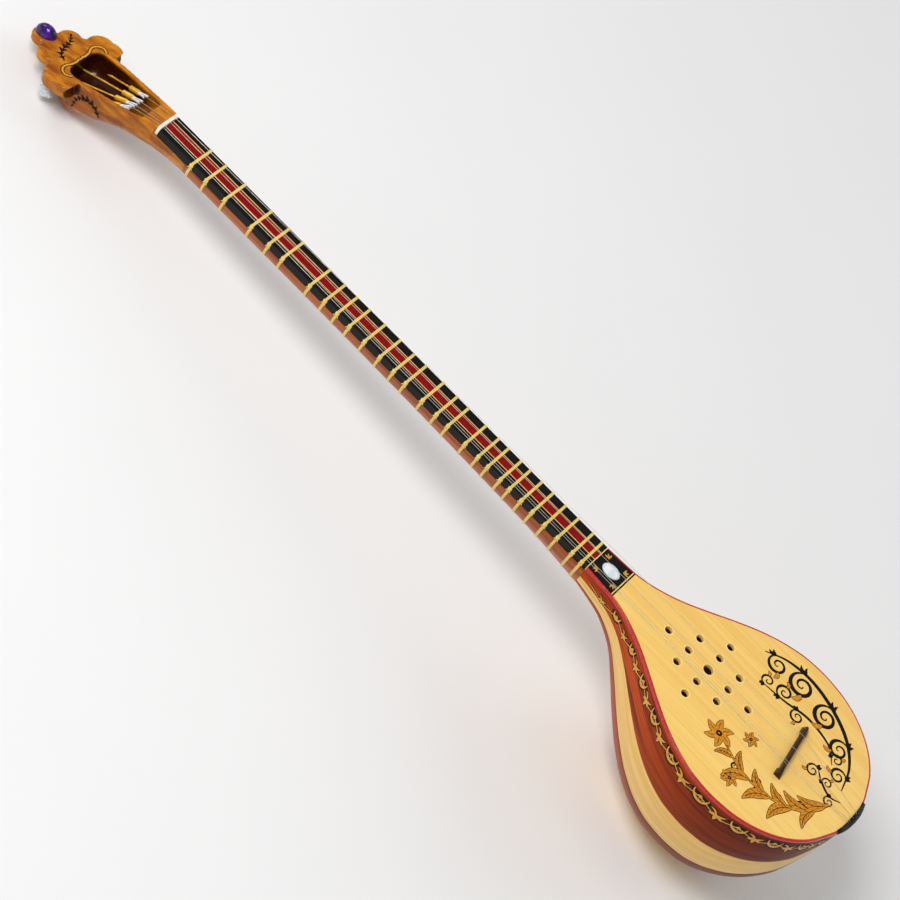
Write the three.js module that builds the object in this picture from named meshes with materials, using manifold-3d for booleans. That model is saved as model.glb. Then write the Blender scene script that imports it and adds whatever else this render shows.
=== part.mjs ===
// Setar: a long-necked lute with a bowl of nine staves, tied gut frets, four
// strings and four screw tuners under a lobed crown.
// Millimetres. The instrument is drawn level, strings along Y, head towards +Y,
// and is then laid on its back so that bowl and head both touch the ground.
import * as THREE from 'three';
import { mergeVertices } from 'three/addons/utils/BufferGeometryUtils.js';
import Module from 'manifold-3d';

const wasm = await Module();
wasm.setup();

// Driving dimensions: overall
const stringLength = 660;
const neckLength = 458;
const glueGap = 0.3;
const overrun = 4;

// Bowl
const bowlLength = 268;
const bowlHalfWidth = 84.7;
const bowlDepth = 144.5;
const jointHalfWidth = 15;
const jointDepth = 31;
const tailHalfWidth = 8;
const tailDepth = 19;
const rimDropAtJoint = 1.5;
const rimDropAtTail = 5;
const ribCount = 9;
const ribThickness = 3;
const ribFacets = 3;
const neckBlockStations = 4;
const tailBlockStations = 7;

// Stations of the bowl: share of its length, then the shares of the swell from
// the end's width and depth to the widest and deepest place
const neckSideShares = [
  [0, 0, 0],
  [0.052, 0.014, 0.03],
  [0.104, 0.032, 0.07],
  [0.149, 0.072, 0.128],
  [0.194, 0.136, 0.207],
  [0.25, 0.244, 0.356],
  [0.325, 0.43, 0.56],
  [0.399, 0.624, 0.733],
  [0.474, 0.796, 0.869],
  [0.549, 0.921, 0.958],
  [0.612, 0.983, 0.992],
  [0.672, 1, 1],
];
const tailSideShares = [
  [0.735, 0.981, 0.99],
  [0.791, 0.932, 0.95],
  [0.847, 0.844, 0.875],
  [0.892, 0.738, 0.788],
  [0.929, 0.613, 0.682],
  [0.959, 0.464, 0.552],
  [0.981, 0.287, 0.345],
  [0.989, 0.217, 0.235],
  [0.9945, 0.152, 0.15],
  [0.998, 0.082, 0.075],
  [1, 0, 0],
];

// Soundboard, binding and end plate
const boardThickness = 3;
const boardArch = 2;
const bindingWidth = 1.5;
const plateLength = 28;
const smallHoleDiameter = 6.3;
const bigHoleDiameter = 8.4;
const holePitchAcross = 16.5;
const holePitchAlong = 20.6;
const holeFieldDistance = 116;
const holeRings = 2;

// Neck and fretboard
const fretboardHalfWidth = 11.6;
const fretboardThickness = 6.5;
const neckDepth = 22.6;
const spliceDistance = 33;
const neckSwellShares = [
  [0, 0],
  [0.3, 0],
  [0.55, 0.07],
  [0.8, 0.3],
  [0.9, 0.52],
  [0.96, 0.79],
  [1, 1],
];

// Frets, tied where these cents above the open string sound
const centsPerOctave = 1200;
const fretCents = [
  100, 145, 204, 290, 349, 397, 495, 552, 600, 650, 712, 778, 840, 894,
  975, 1044, 1103, 1197, 1270, 1327, 1404, 1462, 1538, 1615, 1705, 1802, 1922, 2001,
];
const fretWidth = 2.4;
const fretHeight = 0.8;
const fretShoulder = 0.5;
const fretClearance = 0.3;

// Nut, bridge, tailpiece and strings
const nutThickness = 2.6;
const nutRise = 2.3;
const nutShoulder = 1.6;
const nutRounding = 0.5;
const notchWidth = 0.9;
const notchDepth = 0.7;
const stringDiameter = 0.5;
const stringSeat = 0.1;
const stringsAtNut = [-8.6, -6.4, 0, 7];
const stringsAtBridge = [-16.6, -14, 0, 15.5];
const stringsAtTail = [-6.4, -4.2, 0.6, 6];
const bridgeHalfWidth = 27;
const bridgeFootLength = 6;
const bridgeFootRise = 1.2;
const bridgeHeight = 6.6;
const bridgeFootDepth = 6.4;
const bridgeBarDepth = 4.4;
const bridgeTopDepth = 2.4;
const bridgeShoulder = 1.8;
const bridgeSlant = THREE.MathUtils.degToRad(8.5);
const tailpieceStations = 3;
const tailpieceThickness = 3;
const tailpieceLip = 1.2;
const tailpieceHeight = 8;
const tailpieceEndShares = [0.35, 0.6, 0.85];

// Head: a tilted peg box that ends under a crown of round lobes
const headTilt = THREE.MathUtils.degToRad(12.5);
const headLength = 93;
const headHalfWidthAtNut = 13.2;
const headHalfWidth = 22.8;
const headDepthAtNut = 22.5;
const headDepth = 40;
const cavityStart = 16;
const cavityEndWall = 8;
const cavityWall = 3.5;
const cavityDepthAtStart = 7;
const cavityDepth = 21;
const slotWidth = 1.8;
const slotReach = 3;
const crownThickness = 8;
const lowLobeThickness = 11;
const crownEdgeRadius = 2.4;
const lowLobeRadius = 11.9;
const middleLobeRadius = 10.7;
const topLobeRadius = 9.8;
const lowLobeX = 25.1;
const lowLobeSetback = 6.3;
const lowLobeStretch = 8.5;
const middleLobeX = 11.2;
const middleLobeReach = 12.8;
const topLobeReach = 28.6;
const coveRadius = 6;
const coveDepth = 5.5;

// Shares of the peg box's length against the swell of its width and depth, the
// round end as a share of its width, and the same for its cavity
const headWidthShares = [
  [0, 0],
  [0.1, 0.2],
  [0.22, 0.37],
  [0.35, 0.54],
  [0.47, 0.7],
  [0.59, 0.84],
  [0.7, 0.94],
  [0.8, 1],
];
const headDepthShares = [
  [0, 0],
  [0.24, 0.03],
  [0.39, 0.18],
  [0.46, 0.29],
  [0.6, 0.57],
  [0.72, 0.79],
  [0.84, 1],
];
// Between neck and peg box, the share of the way along and of the swell
const cheekShares = [
  [0, 0],
  [0.35, 0.16],
  [0.7, 0.58],
  [1, 1],
];
const headEndShares = [
  [0.8, 1, 1],
  [0.85, 0.98, 1],
  [0.885, 0.93, 0.99],
  [0.92, 0.83, 0.95],
  [0.955, 0.6, 0.87],
  [0.985, 0.32, 0.76],
  [1, 0.1, 0.68],
];
const cavityShares = [
  [0, 0.9, 0],
  [0.13, 1, 0.45],
  [0.35, 1, 0.9],
  [0.6, 1, 1],
  [0.88, 1, 1],
  [0.96, 0.9, 0.96],
  [1, 0.66, 0.9],
];
// Half of the peg box's section: shares of its half width and of its depth
const headSectionShares = [
  [1, 0],
  [0.99, 0.34],
  [0.95, 0.62],
  [0.83, 0.85],
  [0.6, 0.97],
  [0.36, 1],
];
const roundSectionLast = THREE.MathUtils.degToRad(84);

// Stones
const crownStoneLength = 18.6;
const crownStoneWidth = 12.6;
const crownStoneHeight = 8.2;
const crownStoneSetback = 1.1;
const plateStoneLength = 16;
const plateStoneWidth = 12;
const plateStoneHeight = 2.6;

// Tuners: a knob turns a screw, which draws a hooked barrel along the peg box
const tunerCount = 4;
const tunerPitch = 8.4;
const tunerFan = THREE.MathUtils.degToRad(8.8);
const innerTunerSlope = THREE.MathUtils.degToRad(12);
const outerTunerSlope = THREE.MathUtils.degToRad(17.5);
const barrelPlaceShare = 0.44;
const barrelAxisDepth = 5.5;
const barrelLength = 10;
const barrelDiameter = 4.4;
const barrelTravel = 3;
const hookLength = 9;
const hookRootWidth = 3.4;
const hookWidth = 5.2;
const hookThickness = 1.8;
const hookSlotWidth = 1.6;
const hookSlotLength = 7.4;
const hookVee = 2.4;
const screwDiameter = 1.6;
const screwClearance = 0.3;
const screwEntry = 4.5;
const knobDiameter = 13.4;
const knobLength = 10;
const knobEdgeRadius = 2.4;
const knobStandOff = 0.8;
const searchStep = 0.25;

// Facets
const lobeFacets = 20;
const knobFacets = 16;
const barrelFacets = 12;
const holeFacets = 12;
const stoneFacets = 16;
const domeFacets = 4;
const stringFacets = 6;
const archFacets = 6;

const colours = {
  brownWood: 0x7a2e10,
  paleWood: 0xe8c478,
  soundboard: 0xf4c876,
  neckWood: 0xa8602a,
  headWood: 0xc9811f,
  blackWood: 0x17100e,
  darkWood: 0x3a1c18,
  binding: 0xc01410,
  gut: 0xe8cf60,
  bone: 0xf6f0e4,
  brass: 0xc79a36,
  steel: 0xb8b8b8,
  violetStone: 0x3c1e70,
  whiteStone: 0xe1e8ee,
  pearl: 0xd8dade,
};

function finish(colour, roughness = 0.4, metalness = 0) {
  return new THREE.MeshStandardMaterial({ color: colour, roughness, metalness });
}

function named(name, geometry, material) {
  const mesh = new THREE.Mesh(geometry, material);
  mesh.name = name;
  return mesh;
}

// Solids

function solidOf(geometry) {
  const bare = geometry.clone();
  bare.deleteAttribute('normal');
  bare.deleteAttribute('uv');
  const merged = mergeVertices(bare);
  return new wasm.Manifold(new wasm.Mesh({
    numProp: 3,
    vertProperties: new Float32Array(merged.attributes.position.array),
    triVerts: new Uint32Array(merged.index.array),
  }));
}

function geometryOf(solid) {
  const mesh = solid.getMesh();
  const geometry = new THREE.BufferGeometry();
  geometry.setAttribute('position', new THREE.BufferAttribute(mesh.vertProperties, 3));
  geometry.setIndex(new THREE.BufferAttribute(mesh.triVerts, 1));
  geometry.computeVertexNormals();
  return geometry;
}

function cut(body, tools) {
  let solid = solidOf(body);
  for (const tool of tools) solid = solid.subtract(solidOf(tool));
  return geometryOf(solid);
}

function join(bodies) {
  let solid = solidOf(bodies[0]);
  for (const body of bodies.slice(1)) solid = solid.add(solidOf(body));
  return geometryOf(solid);
}

// A loft through rings of equal point count. An open loft is capped at both
// ends, and a closed one returns to its first ring.
function loft(rings, closed = false) {
  const count = rings[0].length;
  const indices = [];
  const spans = closed ? rings.length : rings.length - 1;
  for (let i = 0; i < spans; i += 1) {
    const here = i * count;
    const there = ((i + 1) % rings.length) * count;
    for (let j = 0; j < count; j += 1) {
      const k = (j + 1) % count;
      indices.push(here + j, here + k, there + k, here + j, there + k, there + j);
    }
  }
  if (!closed) {
    const last = (rings.length - 1) * count;
    for (const [a, b, c] of capTriangles(rings[0])) indices.push(a, c, b);
    for (const [a, b, c] of capTriangles(rings.at(-1))) indices.push(last + a, last + b, last + c);
  }
  const geometry = new THREE.BufferGeometry();
  const positions = rings.flat().flatMap((point) => point.toArray());
  geometry.setAttribute('position', new THREE.Float32BufferAttribute(positions, 3));
  geometry.setIndex(indices);
  if (enclosedVolume(geometry) < 0) geometry.setIndex(turnedOver(indices));
  geometry.computeVertexNormals();
  return geometry;
}

// Triangles that fill one flat ring, wound the way the ring runs
function capTriangles(ring) {
  const normal = new THREE.Vector3();
  ring.forEach((point, i) => {
    const next = ring[(i + 1) % ring.length];
    const from = point.clone().sub(ring[0]);
    const to = next.clone().sub(ring[0]);
    normal.add(from.cross(to));
  });
  normal.normalize();
  const across = ring[1].clone().sub(ring[0]).normalize();
  const up = new THREE.Vector3().crossVectors(normal, across);
  const flat = ring.map((point) => new THREE.Vector2(point.dot(across), point.dot(up)));
  return THREE.ShapeUtils.triangulateShape(flat, []);
}

function turnedOver(indices) {
  const turned = [];
  for (let i = 0; i < indices.length; i += 3) {
    turned.push(indices[i], indices[i + 2], indices[i + 1]);
  }
  return turned;
}

function enclosedVolume(geometry) {
  const { position } = geometry.attributes;
  const { index } = geometry;
  let volume = 0;
  for (let i = 0; i < index.count; i += 3) {
    const [a, b, c] = [0, 1, 2].map((corner) => (
      new THREE.Vector3().fromBufferAttribute(position, index.getX(i + corner))
    ));
    volume += a.dot(b.cross(c)) / 6;
  }
  return volume;
}

// The value of a table's column at a share, on straight lines between its rows
function tableValue(table, share, column = 1) {
  const after = table.findIndex((row) => row[0] >= share);
  if (after === 0) return table[0][column];
  if (after < 0) return table.at(-1)[column];
  const [low, high] = [table[after - 1], table[after]];
  const t = (share - low[0]) / (high[0] - low[0]);
  return THREE.MathUtils.lerp(low[column], high[column], t);
}

// The bowl's form

const jointY = -neckLength;
const tailY = jointY - bowlLength;
const plateEndY = jointY - plateLength;
const rimSeat = boardThickness + glueGap;

function rimZ(y) {
  const share = (jointY - y) / bowlLength;
  return -THREE.MathUtils.lerp(rimDropAtJoint, rimDropAtTail, share);
}

function swollen(rows, endHalfWidth, endDepth) {
  return rows.map(([share, width, depth]) => ({
    y: jointY - share * bowlLength,
    width: THREE.MathUtils.lerp(endHalfWidth, bowlHalfWidth, width),
    depth: THREE.MathUtils.lerp(endDepth, bowlDepth, depth),
  }));
}

const stations = [
  ...swollen(neckSideShares, jointHalfWidth, jointDepth),
  ...swollen(tailSideShares, tailHalfWidth, tailDepth),
];

// The slope of the bowl's skin at each station, positive where it widens
stations.forEach((station, i) => {
  const before = stations[Math.max(i - 1, 0)];
  const after = stations[Math.min(i + 1, stations.length - 1)];
  const growth = (after.width + after.depth - before.width - before.depth) / 2;
  const atEnd = i === 0 || i === stations.length - 1;
  station.slope = atEnd ? 0 : Math.atan2(growth, before.y - after.y);
});

// A point of the bowl at an angle from the left rim, moved inward from its skin
function bowlPoint(station, angle, inset) {
  const inward = inset * Math.cos(station.slope);
  const y = station.y - inset * Math.sin(station.slope);
  const width = station.width - inward;
  const depth = station.depth - rimSeat - inward;
  return new THREE.Vector3(
    -width * Math.cos(angle),
    y,
    rimZ(y) - rimSeat - depth * Math.sin(angle),
  );
}

// The angle that half a glue line takes at this place of the section
function seamAngle(station, angle) {
  const reach = Math.hypot(
    (station.width - ribThickness) * Math.sin(angle),
    (station.depth - rimSeat - ribThickness) * Math.cos(angle),
  );
  return glueGap / 2 / reach;
}

// Neighbouring staves run their rings opposite ways round, so that the facets of
// both sides of a glue line match
function rib(number) {
  const first = number * Math.PI / ribCount;
  const last = (number + 1) * Math.PI / ribCount;
  const butted = { ...stations[0], y: jointY - glueGap };
  return loft([butted, ...stations.slice(1)].map((station) => {
    const low = first + (number > 0 ? seamAngle(station, first) : 0);
    const high = last - (number < ribCount - 1 ? seamAngle(station, last) : 0);
    const [one, other] = number % 2 === 0 ? [low, high] : [high, low];
    const arc = (inset) => Array.from({ length: ribFacets + 1 }, (_, i) => (
      bowlPoint(station, THREE.MathUtils.lerp(one, other, i / ribFacets), inset)
    ));
    return [...arc(0), ...arc(ribThickness).reverse()];
  }));
}

// Solid wood inside the bowl, one glue line clear of the staves
function blockInside(chosen) {
  return loft(chosen.map((station) => {
    const facets = ribCount * ribFacets;
    const ring = [];
    for (let i = 0; i <= facets; i += 1) {
      ring.push(bowlPoint(station, Math.PI * i / facets, ribThickness + glueGap));
    }
    return ring;
  }));
}

// Half of the rim in plan, joint to tail, moved inward by the inset
function rimOutline(inset) {
  const corners = stations.map((station) => new THREE.Vector2(station.width, station.y));
  corners.push(new THREE.Vector2(0, tailY));
  return corners.map((corner, i) => {
    if (i === 0) return new THREE.Vector2(corner.x - inset, corner.y);
    if (i === corners.length - 1) return new THREE.Vector2(0, corner.y + inset);
    const before = outward(corners[i - 1], corner);
    const after = outward(corner, corners[i + 1]);
    const mitre = before.clone().add(after).normalize();
    return corner.clone().addScaledVector(mitre, -inset / mitre.dot(after));
  });
}

function outward(from, to) {
  return new THREE.Vector2(from.y - to.y, to.x - from.x).normalize();
}

function widthOnOutline(outline, y) {
  const after = Math.max(outline.findIndex((corner) => corner.y <= y), 1);
  const [high, low] = [outline[after - 1], outline[after]];
  return THREE.MathUtils.mapLinear(y, high.y, low.y, high.x, low.x);
}

// Soundboard

const boardOutline = rimOutline(bindingWidth + glueGap);

function boardTopZ(x, y) {
  const half = widthOnOutline(boardOutline, y);
  const arch = boardArch * half / bowlHalfWidth;
  return rimZ(y) + arch * (1 - (x / half) ** 2);
}

function boardRing(half, y) {
  const top = [];
  const bottom = [];
  for (let i = 0; i <= archFacets; i += 1) {
    const x = half * (1 - 2 * i / archFacets);
    const z = boardTopZ(x, y);
    top.push(new THREE.Vector3(x, y, z));
    bottom.unshift(new THREE.Vector3(x, y, z - boardThickness));
  }
  return [...top, ...bottom];
}

function soundboard() {
  const startY = plateEndY - glueGap;
  const corners = boardOutline.slice(0, -1).filter((corner) => corner.y < startY);
  const start = new THREE.Vector2(widthOnOutline(boardOutline, startY), startY);
  const rings = [start, ...corners].map((corner) => boardRing(corner.x, corner.y));
  return cut(loft(rings), soundHoles());
}

// A diamond of small holes round one larger hole
function soundHoles() {
  const centreY = jointY - holeFieldDistance;
  const holes = [];
  for (let row = -holeRings; row <= holeRings; row += 1) {
    const reach = holeRings - Math.abs(row);
    for (let column = -reach; column <= reach; column += 1) {
      const diameter = row === 0 && column === 0 ? bigHoleDiameter : smallHoleDiameter;
      const x = column * holePitchAcross;
      const y = centreY + row * holePitchAlong;
      const length = boardThickness + overrun;
      const hole = new THREE.CylinderGeometry(diameter / 2, diameter / 2, length, holeFacets);
      hole.rotateX(Math.PI / 2);
      hole.translate(x, y, boardTopZ(x, y) - boardThickness / 2);
      holes.push(hole);
    }
  }
  return holes;
}

// The binding fills the corner between soundboard and staves, all round the rim
function binding() {
  const outer = rimOutline(0).slice(0, -1);
  const inner = rimOutline(bindingWidth).slice(0, -1);
  outer[0].y -= glueGap;
  inner[0].y -= glueGap;
  const half = outer.map((corner, i) => ringOf([
    [corner, 0],
    [inner[i], 0],
    [inner[i], boardThickness],
    [corner, boardThickness],
  ]));
  const otherHalf = half.map((ring) => ring.map(mirrored)).reverse();
  return loft([...half, ...otherHalf]);
}

// Points under plan corners, each a drop below the rim
function ringOf(places) {
  return places.map(([corner, drop]) => new THREE.Vector3(corner.x, corner.y, rimZ(corner.y) - drop));
}

function mirrored(point) {
  return new THREE.Vector3(-point.x, point.y, point.z);
}

// Neck

function neckShare(y) {
  return THREE.MathUtils.clamp(-y / neckLength, 0, 1);
}

function fretboardHalf(y) {
  const atJoint = jointHalfWidth - bindingWidth - glueGap;
  return THREE.MathUtils.lerp(fretboardHalfWidth, atJoint, neckShare(y));
}

function neckHalf(y) {
  const flare = bindingWidth + glueGap;
  return fretboardHalf(y) + flare * tableValue(neckSwellShares, neckShare(y)) ** 2;
}

function neckDepthAt(y) {
  const deepest = jointDepth + rimDropAtJoint;
  return THREE.MathUtils.lerp(neckDepth, deepest, tableValue(neckSwellShares, neckShare(y)));
}

// Half of a round section, as shares of half width and depth
const roundSectionShares = headSectionShares.map((row, i) => {
  const angle = roundSectionLast * i / (headSectionShares.length - 1);
  return [Math.cos(angle), Math.sin(angle)];
});

// A section hung below a level top, from its right edge round to its left
function hungSection(sectionShares, half, top, depth) {
  const right = sectionShares.map(([across, down]) => (
    new THREE.Vector2(half * across, top - (depth + top) * down)
  ));
  const left = right.map((point) => new THREE.Vector2(-point.x, point.y)).reverse();
  return [...right, ...left];
}

const neckTop = -fretboardThickness - glueGap;
const boardStart = -nutThickness / 2 - glueGap;
const seatEnd = nutThickness / 2 + glueGap;

function neckRing(y) {
  const section = hungSection(roundSectionShares, neckHalf(y), neckTop, neckDepthAt(y));
  return section.map((point) => new THREE.Vector3(point.x, y, point.y));
}

function neck() {
  const bends = neckSwellShares.map(([share]) => -share * neckLength).filter((y) => y < -spliceDistance);
  const shaft = loft([-spliceDistance - glueGap, ...bends].map(neckRing));
  return join([shaft, blockInside(stations.slice(0, neckBlockStations))]);
}

// The fretboard runs the whole neck, and steps down to the plate over the bowl
function fretboard() {
  const board = loft([boardStart, jointY].map((y) => {
    const half = fretboardHalf(y);
    return [
      new THREE.Vector3(half, y, 0),
      new THREE.Vector3(half, y, -fretboardThickness),
      new THREE.Vector3(-half, y, -fretboardThickness),
      new THREE.Vector3(-half, y, 0),
    ];
  }));
  const corners = boardOutline.filter((corner) => corner.y > plateEndY && corner.y < jointY);
  const plate = loft([jointY, ...corners.map((corner) => corner.y), plateEndY].map((y) => {
    const half = widthOnOutline(boardOutline, y);
    const top = rimZ(y);
    return [
      new THREE.Vector3(half, y, top),
      new THREE.Vector3(half, y, top - boardThickness),
      new THREE.Vector3(-half, y, top - boardThickness),
      new THREE.Vector3(-half, y, top),
    ];
  }));
  return join([board, plate]);
}

// Frets

function fretY(cents) {
  return stringLength * (2 ** (-cents / centsPerOctave) - 1);
}

// The outline that a fret is tied round: fretboard above, round neck below
function tiedOutline(y) {
  const half = fretboardHalf(y);
  const below = hungSection(roundSectionShares, neckHalf(y), neckTop, neckDepthAt(y));
  return [
    new THREE.Vector2(-half, 0),
    new THREE.Vector2(half, 0),
    ...below,
  ];
}

function grown(outline, distance) {
  return outline.map((corner, i) => {
    const previous = outline.at(i - 1);
    const next = outline[(i + 1) % outline.length];
    const before = outwardOfLoop(previous, corner);
    const after = outwardOfLoop(corner, next);
    const mitre = before.clone().add(after).normalize();
    return corner.clone().addScaledVector(mitre, distance / mitre.dot(after));
  });
}

function outwardOfLoop(from, to) {
  return new THREE.Vector2(from.y - to.y, to.x - from.x).normalize();
}

function fret(y) {
  const outline = tiedOutline(Math.max(y - fretWidth / 2, jointY));
  const inner = grown(outline, fretClearance);
  const shoulder = grown(outline, fretClearance + fretShoulder);
  const crest = grown(outline, fretClearance + fretHeight);
  const at = (corner, along) => new THREE.Vector3(corner.x, along, corner.y);
  return loft(inner.map((corner, i) => [
    at(corner, -fretWidth / 2),
    at(shoulder[i], -fretWidth / 2),
    at(crest[i], 0),
    at(shoulder[i], fretWidth / 2),
    at(corner, fretWidth / 2),
  ]), true);
}

// Nut and bridge

const bridgeTopZ = boardTopZ(0, -stringLength) + glueGap + bridgeHeight;
const stringRise = stringSeat + stringDiameter / 2 - notchDepth;

function nut() {
  const shoulder = nutRise - nutShoulder;
  const outline = new THREE.Shape([
    new THREE.Vector2(-fretboardHalfWidth, -fretboardThickness),
    new THREE.Vector2(fretboardHalfWidth, -fretboardThickness),
    new THREE.Vector2(fretboardHalfWidth, shoulder - nutShoulder),
    new THREE.Vector2(fretboardHalfWidth - nutRounding, shoulder),
    new THREE.Vector2(fretboardHalfWidth - nutShoulder, nutRise),
    new THREE.Vector2(nutShoulder - fretboardHalfWidth, nutRise),
    new THREE.Vector2(nutRounding - fretboardHalfWidth, shoulder),
    new THREE.Vector2(-fretboardHalfWidth, shoulder - nutShoulder),
  ]);
  const bar = new THREE.ExtrudeGeometry(outline, { depth: nutThickness, bevelEnabled: false });
  bar.rotateX(Math.PI / 2).translate(0, nutThickness / 2, 0);
  return cut(bar, notches(stringsAtNut, nutThickness, nutRise));
}

function notches(places, depth, top) {
  return places.map((x) => {
    const notch = new THREE.BoxGeometry(notchWidth, depth + overrun, 2 * notchDepth);
    return notch.translate(x, 0, top);
  });
}

function bridge() {
  const footInner = bridgeHalfWidth - bridgeFootLength;
  const barEnd = footInner - bridgeFootRise;
  const sections = [
    [-bridgeHalfWidth, bridgeFootDepth, 0],
    [-footInner, bridgeFootDepth, 0],
    [-barEnd, bridgeBarDepth, bridgeFootRise],
    [0, bridgeBarDepth, bridgeFootRise],
    [barEnd, bridgeBarDepth, bridgeFootRise],
    [footInner, bridgeFootDepth, 0],
    [bridgeHalfWidth, bridgeFootDepth, 0],
  ];
  const bar = loft(sections.map(([x, depth, rise]) => {
    const y = x * Math.tan(bridgeSlant);
    const foot = boardTopZ(x, y - stringLength) + glueGap + rise;
    const end = Math.abs(x) === bridgeHalfWidth ? bridgeShoulder : 0;
    const top = bridgeTopZ - end;
    return [
      new THREE.Vector3(x, y - depth / 2, foot),
      new THREE.Vector3(x, y - bridgeTopDepth / 2, top - bridgeShoulder / 2),
      new THREE.Vector3(x, y - bridgeTopDepth / 4, top),
      new THREE.Vector3(x, y + bridgeTopDepth / 4, top),
      new THREE.Vector3(x, y + bridgeTopDepth / 2, top - bridgeShoulder / 2),
      new THREE.Vector3(x, y + depth / 2, foot),
    ];
  }));
  const tools = notches(stringsAtBridge, bridgeBarDepth, bridgeTopZ).map((notch, i) => (
    notch.translate(0, stringsAtBridge[i] * Math.tan(bridgeSlant), 0)
  ));
  return cut(bar, tools);
}

// The tailpiece hugs the end of the bowl, with a lip over the binding
function tailpiece() {
  const lines = (inset) => rimOutline(inset).slice(-tailpieceStations - 1);
  const lip = lines(bindingWidth);
  const face = lines(-glueGap);
  const half = lip.map((corner, i) => {
    const share = tailpieceEndShares[i] ?? 1;
    const height = tailpieceHeight * share;
    const back = lines(-glueGap - tailpieceThickness * share)[i];
    return ringOf([
      [corner, -glueGap],
      [corner, -glueGap - tailpieceLip * share],
      [back, -tailpieceLip * share / 2],
      [back, height / 2],
      [face[i], height],
      [face[i], -glueGap],
    ]);
  });
  const otherHalf = half.slice(0, -1).map((ring) => ring.map(mirrored)).reverse();
  const body = loft([...half, ...otherHalf]);
  return cut(body, notches(stringsAtTail, tailpieceThickness, lipTopZ()).map((notch) => (
    notch.translate(0, tailY, 0)
  )));
}

function lipTopZ() {
  return rimZ(tailY) + glueGap + tailpieceLip;
}

// Head, in its own tilted frame: Y along the peg box, Z out of its face

const lowLobeY = headLength - lowLobeSetback;
const middleLobeY = headLength + middleLobeReach;
const topLobeY = headLength + topLobeReach;

function headShare(y) {
  return y / headLength;
}

function headHalf(y) {
  const swell = tableValue(headWidthShares, headShare(y));
  const body = THREE.MathUtils.lerp(headHalfWidthAtNut, headHalfWidth, swell);
  return body * tableValue(headEndShares, headShare(y), 1);
}

function headDepthAt(y) {
  const swell = tableValue(headDepthShares, headShare(y));
  const body = THREE.MathUtils.lerp(headDepthAtNut, headDepth, swell);
  return body * tableValue(headEndShares, headShare(y), 2);
}

function toHead(point) {
  return point.applyAxisAngle(new THREE.Vector3(1, 0, 0), headTilt);
}

function toLevel(point) {
  return point.applyAxisAngle(new THREE.Vector3(1, 0, 0), -headTilt);
}

// The peg box grows out of the neck: a level root, a mitred bend, then the box
function headBlank() {
  const level = (section, y) => section.map((point) => toHead(new THREE.Vector3(point.x, y, point.y)));
  const root = hungSection(roundSectionShares, neckHalf(0), neckTop, neckDepth);
  const bend = hungSection(headSectionShares, headHalfWidthAtNut, 0, headDepthAtNut);
  const bendY = -headDepthAtNut * Math.sin(headTilt);
  const rings = cheekShares.map(([share, swell]) => level(
    root.map((point, i) => point.clone().lerp(bend[i], swell)),
    THREE.MathUtils.lerp(-spliceDistance, bendY, share),
  ));
  const places = [
    ...headWidthShares.map(([share]) => share * headLength),
    ...headEndShares.slice(1).map(([share]) => share * headLength),
  ];
  for (const y of places) {
    const start = Math.max(y, seatEnd);
    const section = hungSection(headSectionShares, headHalf(start), 0, headDepthAt(start));
    rings.push(section.map((point) => new THREE.Vector3(point.x, start, point.y)));
  }
  return loft(rings);
}

function puck(radius, x, y, thickness = crownThickness) {
  const e = crownEdgeRadius;
  const corner = (centreX, centreY, from) => [0, 1, 2].map((i) => {
    const angle = from + Math.PI / 4 * i;
    return new THREE.Vector2(centreX + e * Math.cos(angle), centreY + e * Math.sin(angle));
  });
  const profile = [
    new THREE.Vector2(0, -thickness),
    ...corner(radius - e, e - thickness, -Math.PI / 2),
    ...corner(radius - e, -e, 0),
    new THREE.Vector2(0, 0),
  ];
  const solid = new THREE.LatheGeometry(profile, lobeFacets);
  return solid.rotateX(Math.PI / 2).translate(x, y, 0);
}

// The crown: five lobes joined by a flat web that closes the valleys between them
function crown() {
  const valleyX = (lowLobeX + middleLobeX) / 2 + crownEdgeRadius;
  const valleyY = (lowLobeY + middleLobeY) / 2 + crownEdgeRadius;
  const upperX = middleLobeX - crownEdgeRadius;
  const upperY = middleLobeY + middleLobeRadius - crownEdgeRadius / 2;
  const right = [
    [lowLobeX, lowLobeY - lowLobeStretch - lowLobeRadius + crownEdgeRadius],
    [lowLobeX + lowLobeRadius / 2, lowLobeY],
    [valleyX, valleyY],
    [middleLobeX + middleLobeRadius / 2, middleLobeY],
    [upperX, upperY],
    [0, topLobeY],
  ];
  const left = right.slice(0, -1).map(([x, y]) => [-x, y]).reverse();
  const web = new THREE.Shape([...right, ...left].map(([x, y]) => new THREE.Vector2(x, y)));
  const plate = new THREE.ExtrudeGeometry(web, { depth: crownThickness, bevelEnabled: false });
  plate.translate(0, 0, -crownThickness);
  const lobes = [-1, 1].flatMap((side) => [
    puck(lowLobeRadius, side * lowLobeX, lowLobeY, lowLobeThickness),
    puck(lowLobeRadius, side * lowLobeX, lowLobeY - lowLobeStretch, lowLobeThickness),
    puck(middleLobeRadius, side * middleLobeX, middleLobeY),
  ]);
  return [plate, ...lobes, puck(topLobeRadius, 0, topLobeY)];
}

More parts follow.
